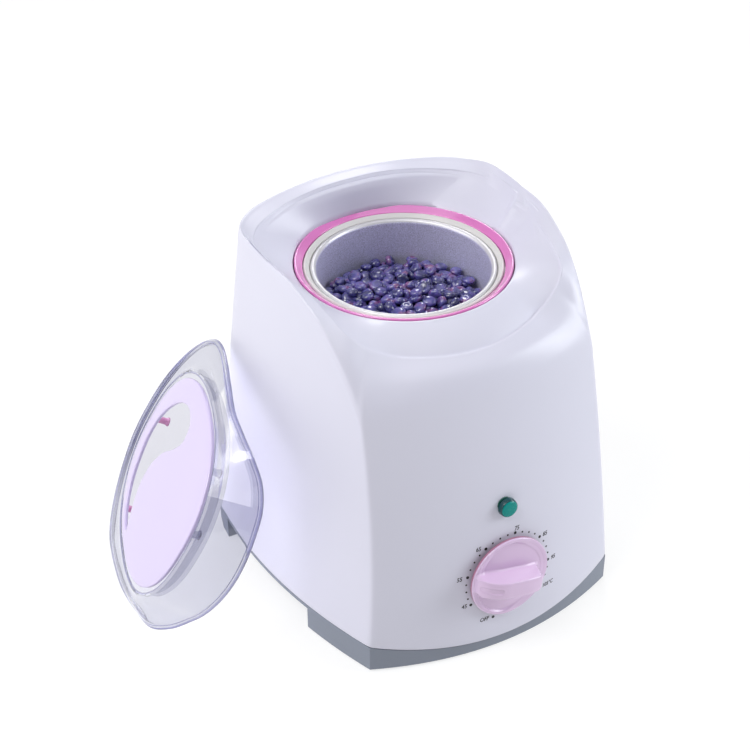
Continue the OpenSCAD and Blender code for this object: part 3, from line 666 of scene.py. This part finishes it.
def bead_at(q, lift):
    """A bead of chance size, dimple and tilt, on a low mound."""
    mound = (1.9 - 5.2 * (np.hypot(*q) / POT_R) ** 2
             + 1.1 * math.sin(q[0] * 0.13 + 1) * math.cos(q[1] * 0.11))
    size = BEAD_R + 0.3 * rng.standard_normal()
    thick = size * rng.uniform(0.95, 1.3)
    pts, quads = bead_shape(size, thick, rng.choice([0.0, 0.18, 0.32]), 18)
    pts = pts * [1, rng.uniform(0.86, 1.0), 1]
    axis = math.cos(rng.random() * ROUNDISH), math.sin(rng.random() * ROUNDISH), 0
    tilt = turned(axis, min(1.35, abs(rng.normal(0, 0.62))))
    spin = turned((0, 0, 1), rng.random() * ROUNDISH)
    pts = pts @ spin.T @ tilt.T
    pts += [q[0], q[1], BEAD_TOP + FOOT_H + lift + mound + rng.normal(0, 0.55) - 1.5]
    reach = np.hypot(pts[:, 0], pts[:, 1]).max()
    over = reach - (POT_R - WALL_GAP)
    if over > 0:
        pts[:, :2] *= 1 - over / reach
    return pts, quads


def heap():
    """Many beads lying over each other, on a core that fills the pot below them."""
    parts = [bead_at(q, lift) for lift, how_many, gap in LAYERS for q in scatter(how_many, gap)]
    parts.append(ring_of([
        (AXIS, POT_FLOOR + 0.2), (POT_R - 3.3, POT_FLOOR + 0.2), (POT_R - 0.4, POT_FLOOR + 3.2),
        (POT_R - 0.4, BEAD_TOP - 16), (POT_R * 0.7, BEAD_TOP - 10), (AXIS, BEAD_TOP - 7)], 64))
    return joined(parts)


wax, wax_tree, wax_shader = nodes_of("wax_indigo")
chip = spots(wax_tree, 130, 2.0, 0.5)
wax_tree.links.new(ramp(wax_tree, chip, [
    (0.34, (0.022, 0.022, 0.11)), (0.47, (0.06, 0.055, 0.23)), (0.56, (0.12, 0.105, 0.36)),
    (0.66, (0.20, 0.075, 0.22))]),
    wax_shader.inputs["Base Color"])
wax_tree.links.new(spread(wax_tree, chip, 0.1, 0.2), wax_shader.inputs["Roughness"])
relief(wax_tree, wax_shader, spots(wax_tree, 420, 2.0), 0.12, 0.25)
set_inputs(wax_shader, {
    "Subsurface_Weight": 0.35, "Subsurface_Radius": (1.0, 0.35, 0.9), "Subsurface_Scale": 0.0016,
    "Coat_Weight": 0.7, "Coat_Roughness": 0.08})
make("wax_bead_heap", *heap(), "pot", wax, ["wax_beads"], "wax")


# ---------- dial, its print, and the pilot lens ----------
DIAL_H, LAMP_H, TILT = 45.3, 87.5, 5.0
KNOB_R, KNOB_GAP, POINTER = 23.0, 0.7, 79.0
GRIP_HALF, GRIP_TAIL, GRIP_NOSE, GRIP_FILLET, TOP_FILLET = 5.25, -15.6, 22.3, 1.7, 0.85
LAMP_X, LAMP_DROP = 1.0, 1.5  # the lens's shift from the lamp, as the photo has it
PRINT_X, PRINT_DROP = 1.2, 1.6  # the printed scale's shift from the knob's centre


def on_face(local, h, x=0.0):
    """Points of the face's frame (x right, y up, z out) moved to the CAD frame."""
    t = math.radians(TILT)
    p = np.asarray(local, float)
    up = np.array([0, math.sin(t), math.cos(t)])
    out = np.array([0, -math.cos(t), math.sin(t)])
    centre = np.array([x, front_y(x, h), h + FOOT_H])
    return centre + p[..., :1] * [1, 0, 0] + p[..., 1:2] * up + p[..., 2:3] * out


def smooth(a, b, v):
    """0 at a, 1 at b, with a soft start and end."""
    t = np.clip((v - a) / (b - a), 0, 1)
    return t * t * (3 - 2 * t)


def near_least(a, b, blend):
    """The lesser of two values, with a soft change from one to the other."""
    return 0.5 * (a + b - np.sqrt((a - b) ** 2 + blend**2))


def skirt_height(x, y):
    """Height of the skirt's dished face over the knob's back; x runs to the pointer."""
    r = np.hypot(x, y)
    floor_h = 2.6 - 0.95 * smooth(8.4, 20.5, r)
    rim = 2.66 - 0.2 * ((r - 21.9) / 1.1) ** 2
    rim = np.where(r > 22.2, 2.64 - 0.8 + np.sqrt(np.maximum(0.64 - (r - 22.2) ** 2, 0)), rim)
    rim = np.where(r < 20.5, 2.4, rim)
    dish = smooth(0.0, 1.0 + 2.4 * smooth(4, -9, x), near_least(21.3 - r, 18.9 - x, 2.6))
    dish = np.maximum(dish, 0.75 * smooth(1, -12, x))
    return mix(rim, floor_h, dish)


def grip_top(x):
    """The grip's back is level, and falls in a curve to the pointer's end."""
    fall = 11.4 * np.sqrt(np.maximum(1 - (np.maximum(x - 7, 0) / 15.35) ** 2, 0)) - 11.4
    return 13.9 + fall - 0.012 * np.maximum(-x - 2, 0) ** 2 + 0.01 * (x + 2)


def grip_outline(wide, tail, nose, corner):
    """Plan of the grip, with the same number of points whatever its size."""
    side_x = np.concatenate([7 + (nose - corner - 7) * np.sin(np.linspace(1, 0, 46) * math.pi / 2),
                             np.linspace(7, tail + corner, 46)[1:]])
    side = np.stack([side_x, wide + 0 * side_x], 1)
    arc = np.linspace(0, math.pi / 2, 10)[1:-1]
    tail_arc = np.stack([tail + corner - corner * np.sin(arc), wide - corner + corner * np.cos(arc)], 1)
    nose_arc = np.stack([nose - corner + corner * np.cos(arc), wide - corner + corner * np.sin(arc)], 1)
    tail_end = np.stack([tail + 0 * arc, (wide - corner) * np.linspace(1, 0, 8)], 1)
    nose_end = np.stack([nose + 0 * arc, (wide - corner) * np.linspace(0, 1, 8)], 1)
    half_loop = np.concatenate([nose_end, nose_arc, side, tail_arc, tail_end])
    return np.concatenate([half_loop, (half_loop * [1, -1])[::-1][1:-1]])


def grip():
    """The wing: a fillet up from the skirt, leaning sides, a rounded edge, the back with a dimple."""
    rows = []
    for turn in np.linspace(0, math.pi / 2, 7):
        off = GRIP_FILLET * (1 - math.sin(turn))
        q = grip_outline(GRIP_HALF + off, GRIP_TAIL - off, GRIP_NOSE + off * 0.2, 2.6)
        rise = GRIP_FILLET * (1 - math.cos(turn))
        base = np.minimum(skirt_height(q[:, 0], q[:, 1]), 2.5) - 0.06
        rows.append(np.column_stack([q, np.minimum(base + rise, grip_top(q[:, 0]) - 0.5)]))
    foot = rows[-1]
    for v, inset in ((0.3, 0.12), (0.65, 0.27), (1.0, 0.4)):
        q = grip_outline(GRIP_HALF - inset, GRIP_TAIL + 2.0 * v, GRIP_NOSE - 0.1 * v, 2.4)
        top = grip_top(q[:, 0]) - TOP_FILLET
        rows.append(np.column_stack([q, np.maximum(mix(foot[:, 2], top, v), foot[:, 2])]))
    for turn in np.linspace(0.3, math.pi / 2, 5):
        off = TOP_FILLET * (1 - math.cos(turn))
        q = grip_outline(GRIP_HALF - 0.4 - off, GRIP_TAIL + 2.0 + off, GRIP_NOSE - 0.1, 2.2)
        rows.append(np.column_stack([q, grip_top(q[:, 0]) - TOP_FILLET * (1 - math.sin(turn))]))
    edge = rows[-1]
    spine = np.column_stack([edge[:, 0].clip(-10.5, 20.5), 0 * edge[:, 1], edge[:, 2]])
    for share in np.linspace(0, 1, 19)[1:]:
        q = mix(edge, spine, share)
        near = np.hypot(q[:, 0] - q[:, 0].clip(12.6, 20.0), q[:, 1])  # from the dimple's line
        z = grip_top(q[:, 0]) + 0.12 * (1 - (q[:, 1] / 4) ** 2) - 0.4 * (1 - smooth(1.15, 1.6, near))
        lip = 0.12 * (1 - smooth(0.1, 0.5, np.abs(near - 1.85)))
        rows.append(np.column_stack([q[:, :2], z + lip]))
    pts = np.stack(rows, 1)
    return pts.reshape(-1, 3), grid(pts.shape[0], pts.shape[1])


def drum(spokes, radii, height, wall):
    """Points and faces of a disc: face height(x, y), then a wall [(r, h), ...] round to its back."""
    cols = []
    for a in np.linspace(0, ROUND, spokes, endpoint=False):
        c, s = math.cos(a), math.sin(a)
        top = np.stack([radii * c, radii * s, height(radii * c, radii * s)], 1)
        cols.append(np.concatenate([top, [(r * c, r * s, h) for r, h in wall]]))
    n = len(cols[0])
    quads = grid(spokes, n)
    quads.append([i * n for i in range(spokes)])
    quads.append([i * n + n - 1 for i in range(spokes)][::-1])
    return np.concatenate(cols), quads


KNOB_SPOKES, LENS_SPOKES = 200, 96
KNOB_RADII = np.concatenate([np.linspace(0.25, 17.5, 30), np.linspace(17.8, KNOB_R - 0.02, 44)])
KNOB_WALL = [(KNOB_R, 1.5), (KNOB_R, 0.5), (KNOB_R - 0.12, 0.15), (KNOB_R - 0.5, 0), (19, 0), (7.2, 0),
             (7, 0.2), (7, 1.5), (3.1, 1.5), (3.02, 1.7), (3.02, 11.9), (0.25, 11.9)]
LENS_RADII = np.linspace(0.1, 4.5, 46)
LENS_WALL_LINE = [(4.72, 3.15), (4.92, 2.8), (5.02, 2.2), (5.1, 1.3), (5.2, 0.5), (5.2, 0.35),
                  (4.2, 0.35), (4.2, 0.5), (0.1, 0.5)]


def paint_wall(obj, finish, spokes, radii, wall, first, last):
    """Another material for a drum's rows first to last, counted from the face's outermost row."""
    obj.data.materials.append(finish)
    edge, rows = len(radii), len(radii) + len(wall)
    paint(obj, rows, spokes * rows, edge + first, edge + last, 1)


def knob():
    """Skirt and grip together, turned to the pointer's place on the front wall."""
    pts, quads = joined([drum(KNOB_SPOKES, KNOB_RADII, skirt_height, KNOB_WALL), grip()])
    a = math.radians(90 + POINTER)
    x = pts[:, 0] * math.cos(a) - pts[:, 1] * math.sin(a)
    y = pts[:, 0] * math.sin(a) + pts[:, 1] * math.cos(a)
    return on_face(np.stack([x, y, pts[:, 2] + KNOB_GAP], 1), DIAL_H), quads


knob_piece = make("dial_knob_moulded", *knob(), "dial", KNOB, ["dial_knob"], "knob_pink")
# painted shade: the skirt's low outer wall and the edge of its back get the darker red, for the shadow line
# under the rim
paint_wall(knob_piece, KNOB_PAINTED_SHADE, KNOB_SPOKES, KNOB_RADII, KNOB_WALL, 0, 4)


def print_on_wall(flat, quads, name):
    """Ink: flat (x, h) outline points laid on the front face, 0.05 mm proud of it."""
    p = np.asarray(flat, float)
    y = front_y(p[:, 0], p[:, 1])
    pts = np.stack([p[:, 0], y - 0.05, p[:, 1] + FOOT_H], 1)
    back = pts + [0, 0.35, 0]
    n = len(pts)
    solid = list(quads) + [[v + n for v in reversed(f)] for f in quads]
    edges = {(a, b): True for f in quads for a, b in zip(f, [*f[1:], f[0]])}
    solid += [[a, a + n, b + n, b] for a, b in edges if (b, a) not in edges]
    return make(name, np.concatenate([pts, back]), solid, "stand", INK, smooth=False)


def dial_spot(angle, radius):
    """Place on the face at an angle clockwise from up, seen from the front."""
    a = math.radians(angle)
    rise = radius * math.cos(a) * math.cos(math.radians(TILT))
    return np.array([PRINT_X + radius * math.sin(a), DIAL_H - PRINT_DROP + rise])


FIRST, STEP, MAJOR, MARKS, OFF_MARK = -114.9, 10.4, 4, 25, -156.2
MARK_RING, BIG_DOT, SMALL_DOT, DOT_SIDES = 25.2, 0.84, 0.52, 16
unit_dot = [np.array([math.cos(t), math.sin(t)]) for t in np.arange(DOT_SIDES) * math.pi / 8]
marks = []
for angle, big in [(FIRST + k * STEP, k % MAJOR == 0) for k in range(MARKS)] + [(OFF_MARK, True)]:
    centre, radius = dial_spot(angle, MARK_RING), BIG_DOT if big else SMALL_DOT
    marks.append(([centre + radius * v for v in unit_dot], [list(range(DOT_SIDES))]))
print_on_wall(*joined(marks), "dial_marks")


def lettering(text, centre, height):
    """Outline of a short generic dial label, as flat points and faces."""
    curve = bpy.data.curves.new("label", "FONT")
    curve.body = text
    curve.size = 1.0
    curve.shear = 0.22
    curve.offset = 0.012
    curve.resolution_u = 3
    curve.align_x, curve.align_y = "CENTER", "CENTER"
    obj = new_object("label", curve)
    bpy.context.view_layer.update()
    mesh = obj.evaluated_get(bpy.context.evaluated_depsgraph_get()).to_mesh()
    pts = np.array([v.co[:2] for v in mesh.vertices])
    quads = [list(f.vertices) for f in mesh.polygons]
    bpy.data.objects.remove(obj)
    low, high = pts.min(0), pts.max(0)
    scale = height / (high[1] - low[1])
    return (pts - (low + high) / 2) * scale * [0.86, 1] + centre, quads


LABEL_H = 2.5
labels = [("45", -111.8, 28.5), ("55", -76.0, 29.4), ("65", -37.5, 28.4), ("75", 11.5, 27.9),
          ("85", 55.5, 28.4), ("95", 92.5, 28.9), ("105°C", 123.5, 30.2), ("OFF", -146.5, 27.3)]
numbers = [lettering(text, dial_spot(angle, radius), LABEL_H) for text, angle, radius in labels]
print_on_wall(*joined(numbers), "dial_numbers")


def lens_height(x, y):
    """The neon lamp's lens is crowned, with slanting ribs that fade at its edge."""
    r = np.hypot(x, y)
    rib = 0.05 * np.sin((x * 0.8 + y * 0.6) * ROUND / 0.9) * (1 - smooth(3.6, 4.0, r))
    return 4.1 - 0.022 * r**2 - 0.35 * smooth(3.9, 4.5, r) + rib


lens_points, lens_faces = drum(LENS_SPOKES, LENS_RADII, lens_height, LENS_WALL_LINE)
lens_piece = make("pilot_lens_ribbed", on_face(lens_points, LAMP_H - LAMP_DROP, LAMP_X), lens_faces,
                  "stand", LENS, ["pilot_lens"], "lens_green")
# painted shade: the lens's outermost face row and its side wall get the dark green
paint_wall(lens_piece, LENS_PAINTED_SHADE, LENS_SPOKES, LENS_RADII, LENS_WALL_LINE, -1, 5)


# ---------- carried-over CAD nodes ----------
FINISHES = [
    (GREY, "base_tray"), (RUBBER, "rubber_feet"), (WELL, "heater_well"), (MICA, "heater_band"),
    (WOOL, "insulation_sleeve"), (CERAMIC, "well_spacers"), (RESIN, "thermostat_body"),
    (STEEL, "base_screws", "band_clamp", "bush_nut", "thermostat_shaft", "lamp_clip", "clamp_screws"),
    (BRASS, "thermal_fuse", "thermostat_bush", "terminal_screws"), (COPPER, "sensor_bulb", "capillary"),
    (NEON, "pilot_lamp"), (NYLON, "terminal_block", "cord_clamp"), (BUSH, "inlet_bush"),
    (RED, "lead_live"), (BLUE, "lead_lamp"), (PALE, "lead_heater")]
for finish, *names in FINISHES:
    for name in names:
        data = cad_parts[name].data
        data.materials.clear()
        data.materials.append(finish)


# ---------- lid ----------
# the closed lid is turned by LID_TURN (degrees about x, y, z) round the well's axis at LID_ZERO,
# and that point goes to LID_AT
LID_AT, LID_TURN, LID_ZERO = (-117.2, 26.6, 55.8), (5.6, -60.6, -20.8), 180.0
LID_TOP, LID_T, POCKET, EDGE_GAP = 196.5, 1.8, 8.0, 3.6
PLATE_W, PLATE_L, LID_Y, EGG_N = 53.2, 57.6, -6.4, 2.3  # half sizes, centre, squareness
FLOOR_H = LID_TOP - POCKET
turn_x, turn_y, turn_z = (turned(axis, math.radians(a)) for axis, a in zip("XYZ", LID_TURN))
lean = turn_z @ turn_y @ turn_x


def leaning(points):
    """Points of the closed lid moved to where it leans on the housing."""
    p = np.asarray(points, float) - [0, 0, LID_ZERO]
    return p @ lean.T + np.array(LID_AT) + [0, 0, FOOT_H]


def seat_points(phi):
    """The line on which the closed lid sits."""
    a = np.abs(phi)
    r = look_up(SEAT_LINE, a, 1)
    return np.stack([r * np.sin(np.radians(phi)), -r * np.cos(np.radians(a)), look_up(SEAT_LINE, a, 2)], -1)


def egg(phi, grow):
    """Outline of the lid's flat top, an egg that grow makes wider."""
    p = seat_points(phi)
    d = p[:, :2] - [0, LID_Y]
    d /= np.linalg.norm(d, axis=1)[:, None]
    r = ((np.abs(d[:, 0]) / (PLATE_W + grow)) ** EGG_N
         + (np.abs(d[:, 1]) / (PLATE_L + grow)) ** EGG_N) ** (-1 / EGG_N)
    return d * r[:, None] + [0, LID_Y]


lid_phi = np.linspace(-180, 180, 288, endpoint=False)
lid_rim = seat_points(lid_phi) * [0.99, 0.99, 1] + [0, 0, 0.4]
plateau = egg(lid_phi, EDGE_GAP)


def lid_row(k, z):
    """A row a share k of the way from the rim to the flat top's edge."""
    xy = mix(lid_rim[:, :2], plateau, k)
    return np.concatenate([xy, (z + 0 * lid_phi)[:, None]], 1)


def lid_inner(grow, z):
    """A level row with the flat top's outline, grown."""
    return np.concatenate([egg(lid_phi, grow), (z + 0 * lid_phi)[:, None]], 1)


LIP_OUT, LIP_IN = 4, 2  # rows of the rim's lip in the outer and inner skin
LID_STEPS = [12, 10, 6, 5, 4, 6, 5, 3]  # rows between the knots: flange, edge, pocket
FLOOR_GROWS = -12, -24, -36, -46, 0.8 - PLATE_W


def lid_skin(inset):
    """Rows of the outer skin, or of the inner one that lies inset below it."""
    z, c = lid_rim[:, 2], 1 if inset else 0
    over = [lid_row(0.04 + c * 0.16, z + 3 - c * 0.8),
            lid_row(0.45 + c * 0.14, mix(z, LID_TOP, 0.7) - inset * 0.5),
            lid_row(0.85 + c * 0.06, LID_TOP - 1.2 - inset * 0.8),
            lid_row(1, LID_TOP - inset),
            lid_inner(EDGE_GAP - 1.2 + inset * 0.8, LID_TOP - 0.35 - inset),
            lid_inner(EDGE_GAP - 1.9 + inset * 0.8, LID_TOP - 1.8 - inset),
            lid_inner(EDGE_GAP - 2.4 + inset * 0.8, FLOOR_H + 1.6 - inset),
            lid_inner(EDGE_GAP - 3.6 + inset * 0.8, FLOOR_H + 0.1 - inset),
            lid_inner(EDGE_GAP - 6.5, FLOOR_H - inset)]
    body = catmull(np.stack(over, 1), LID_STEPS)
    floor_rows = [lid_inner(g, FLOOR_H - inset) for g in FLOOR_GROWS]
    if c:
        lip = [lid_row(0.0, z) * [0.975, 0.975, 1], lid_row(0.05, z + 1.2) * [0.985, 0.985, 1]]
    else:
        wide = lid_row(0, z) * [1.006, 1.006, 1]
        lip = [lid_row(0, z), wide + [0, 0, 0.35], wide + [0, 0, 1.5], lid_row(0, z) + [0, 0, 1.9]]
    return np.concatenate([np.stack(lip, 1), body, np.stack(floor_rows, 1)], 1)


lid_out, lid_in = lid_skin(0.0), lid_skin(LID_T)[:, ::-1]
lid_grid = np.concatenate([lid_out, lid_in], 1)
cols, rows = lid_grid.shape[:2]
half = lid_out.shape[1]  # the two skins meet at the rim, and each has its own floor
lid_faces = [f for f in grid(cols, rows) if f[0] % rows != half - 1] + [
    [i * rows + half - 1 for i in range(cols)],
    [i * rows + half for i in range(cols)][::-1]] + seam(cols, rows)
clear_shell = make("lid_clear_shell", leaning(lid_grid.reshape(-1, 3)), lid_faces, "lid", CLEAR,
                   ["lid_shell"], "clear_lid")
for finish in (CLEAR_PAINTED_LIGHT_POCKET, CLEAR_PAINTED_DARK_EDGE, CLEAR_LIT):
    clear_shell.data.materials.append(finish)

# rows where the flat top's edge and the pocket begin, and the same edge in the inner skin
top_row = LIP_OUT + sum(LID_STEPS[:3])
pocket_row = top_row + LID_STEPS[3]
inner_top_row = rows - 1 - LIP_IN - sum(LID_STEPS[:3])
# slot 1 is the paler, unreflective copy on the pocket (painted light); slot 2 is the dark indigo copy on the
# rim's lip and the flat top's edge (painted shade)
for first, last, slot in ((pocket_row, inner_top_row, 1), (0, LIP_OUT - 1, 2), (top_row, pocket_row - 1, 2)):
    paint(clear_shell, rows, cols * rows, first, last, slot)

# painted highlight: the light that the right part of the flange catches, as a paler copy of the clear
# plastic
LIT_FROM, LIT_TO = 33, 86
lit_rows = {*range(LIP_OUT + 2, top_row - 1), *range(inner_top_row + 2, rows - 6)}
for face in clear_shell.data.polygons:
    angle = max(lid_phi[v // rows] for v in face.vertices)
    if LIT_FROM < angle < LIT_TO and min(v % rows for v in face.vertices) in lit_rows:
        face.material_index = 3


# the plate's finger opening
COMMA = [(-47.5, 4), (-44.5, 17), (-35.5, 29), (-21, 37.5), (-7, 41.5), (8, 40), (21, 33.5), (32, 23),
         (37, 10), (34, 0), (26, -3), (16, 2), (4, 12), (-10, 18), (-23, 18), (-36, 12)]


def cord(loop, radius, sides=8):
    """A thin round tube that follows a closed line."""
    ahead = np.roll(loop, -1, 0) - np.roll(loop, 1, 0)
    side = np.cross(ahead, [0, 0, 1.0])
    side /= np.linalg.norm(side, axis=1)[:, None]
    rows = [loop + radius * (math.cos(a) * side + math.sin(a) * np.array([0, 0, 1.0]))
            for a in np.linspace(0, ROUND, sides + 1)]
    return np.stack(rows, 1).reshape(-1, 3), grid(len(loop), sides + 1)


# painted shade: thin dark cords in the rim's lip, on the flange just above it and along the flat top's edge,
# for the dark refraction lines there
painted_line_points, painted_line_faces = joined([
    cord(lid_row(0, lid_rim[:, 2]) * [1.004, 1.004, 1] + [0, 0, 0.7], 0.42),
    cord(lid_row(0.07, lid_rim[:, 2] + 2.6), 0.26),
    cord(lid_inner(EDGE_GAP - 0.7, LID_TOP - 0.3), 0.3)])
painted_lid_lines = make("lid_painted_dark_lines", leaning(painted_line_points), painted_line_faces, "lid", LID_PAINTED_DARK_LINE,
                 ["lid_shell"], "clear_lid")


def resampled(loop, step):
    """The closed loop as a smooth curve with points about step apart."""
    q = np.array(loop, float)
    q = np.concatenate([q[-2:], q, q[:3]])
    fine = catmull(q, [12] * (len(q) - 1))[24:-24]
    s = lengths(fine)
    t = np.linspace(0, s[-1], int(s[-1] / step), endpoint=False)
    return np.stack([np.interp(t, s, fine[:, k]) for k in range(2)], 1)


def moved_in(loop, distance):
    """The loop moved to its left by distance."""
    d = np.roll(loop, -1, 0) - np.roll(loop, 1, 0)
    d /= np.linalg.norm(d, axis=1)[:, None]
    return loop + distance * np.stack([-d[:, 1], d[:, 0]], 1)


def wound(loop, direction):
    """The loop, run anticlockwise for direction 1 and clockwise for -1."""
    ahead = np.roll(loop, -1, 0)
    area = np.sum(loop[:, 0] * ahead[:, 1] - loop[:, 1] * ahead[:, 0])
    return loop if area * direction > 0 else loop[::-1]


def within(p, loops):
    """Which points lie inside the first loop and outside the others."""
    x, y = p[:, 0], p[:, 1]
    odd = np.zeros(len(p), bool)
    for loop in loops:
        for a, b in zip(loop, np.roll(loop, -1, 0)):
            crossing = (b[0] - a[0]) * (y - a[1]) / (b[1] - a[1] + 1e-12) + a[0]
            odd ^= ((a[1] > y) != (b[1] > y)) & (x < crossing)
    return odd


def panel(loops, z_of, thick, edge, lattice=3.0):
    """A plate with rounded edges; loops[0] runs anticlockwise, holes clockwise."""
    face_loops = [moved_in(loop, edge) for loop in loops]
    edge_points = np.concatenate(face_loops)
    borders, start = [], 0
    for loop in loops:
        borders.append(start + np.arange(len(loop)))
        start += len(loop)
    low, high = edge_points.min(0), edge_points.max(0)
    gx, gy = np.meshgrid(np.arange(low[0], high[0], lattice), np.arange(low[1], high[1], lattice))
    inside = np.stack([gx.ravel(), gy.ravel()], 1)
    gap = np.array([np.linalg.norm(edge_points - p, axis=1).min() for p in inside])
    inside = inside[(gap > lattice * 0.5) & within(inside, face_loops)]
    ties = [(int(a), int(b)) for ids in borders for a, b in zip(ids, np.roll(ids, -1))]
    every = [tuple(p) for p in np.concatenate([edge_points, inside])]
    verts, _, tris = delaunay_2d_cdt(every, ties, [], 0, 1e-7)[:3]
    verts = np.array([tuple(v) for v in verts])
    good = within(verts[np.array(tris)].mean(1), face_loops)
    tris = [list(t) for t, g in zip(tris, good) if g]
    n = len(verts)
    top = np.column_stack([verts, z_of(verts)])
    pts = [top, top - [0, 0, thick]]
    solid = tris + [[v + n for v in reversed(t)] for t in tris]
    count = 2 * n
    for loop, ids in zip(loops, borders):
        rings = [ids]
        for share, h in ((0.6, -0.1 * edge), (0.25, -0.3 * edge), (0.05, -0.65 * edge), (0, -edge),
                         (0, edge - thick), (0.25, 0.3 * edge - thick)):
            q = moved_in(loop, edge * share)
            pts.append(np.column_stack([q, z_of(q) + h]))
            rings.append(count + np.arange(len(loop)))
            count += len(loop)
        rings.append(ids + n)
        for u, v in zip(rings, rings[1:]):
            solid += np.stack([u, v, np.roll(v, -1), np.roll(u, -1)], 1).tolist()
    return leaning(np.concatenate(pts)), solid


def crown(q):
    """The plate's face is slightly domed."""
    x, y = q[:, 0] / 60, (q[:, 1] - LID_Y) / 64
    return LID_TOP + 0.2 + 1.3 * (1 - x * x - y * y).clip(0)


plate_loop = wound(resampled(egg(np.linspace(-180, 180, 72, endpoint=False), 0), 1.2), 1)
comma_loop = wound(resampled(COMMA, 1.0), -1)
plate = make("lid_lilac_plate", *panel([plate_loop, comma_loop], crown, 2.0, 0.6), "lid", PLATE,
             ["lid_plate"], "plate_lilac")


def posts(places):
    """Turned posts at places (x, y), from the pocket's floor to the plate."""
    low, top = FLOOR_H + 0.1, LID_TOP - 2
    outline = [(0.01, low), (2.6, low), (2.45, low + 0.6), (2.0, low + 1.3), (1.9, low + 2.4),
               (1.9, top - 0.3), (1.75, top), (0.01, top)]
    around = np.linspace(0, ROUND, 32, endpoint=False)
    points, faces = joined(
        ([(px + r * math.cos(a), py + r * math.sin(a), z) for a in around for r, z in outline],
         grid(len(around), len(outline))) for px, py in places)
    return leaning(points), faces


# the two behind the comma opening are pink
pink_posts = make("lid_pink_posts", *posts([(2, 45), (-45.8, 21)]), "lid", POST,
                  ["lid_posts"], "post_pink")
clear_posts = make("lid_clear_posts", *posts([(40, -42), (10, -57)]), "lid", CLEAR,
                   ["lid_posts"], "clear_lid")
for piece in (clear_shell, painted_lid_lines, plate, pink_posts, clear_posts):
    piece.visible_shadow = False  # the lid lets the light through

# ---------- soft corners on the plinth ----------
plinth_round = bpy.data.objects["base_tray"].modifiers.new("soft_corners", "BEVEL")
plinth_round.width = 1.4 * MM
plinth_round.segments = 3
plinth_round.limit_method = "ANGLE"
plinth_round.angle_limit = math.radians(50)

# ---------- floor --------------------
FLOOR_HALF, FLOOR_Z = 6.0, -0.0002  # metres; a hair below the feet
table_top = bpy.data.meshes.new("table_top")
corners = [(x * FLOOR_HALF, y * FLOOR_HALF, FLOOR_Z) for x, y in ((-1, -1), (1, -1), (1, 1), (-1, 1))]
table_top.from_pydata(corners, [], [[0, 1, 2, 3]])
table_top.materials.append(floor_material)
floor = new_object("floor", table_top)
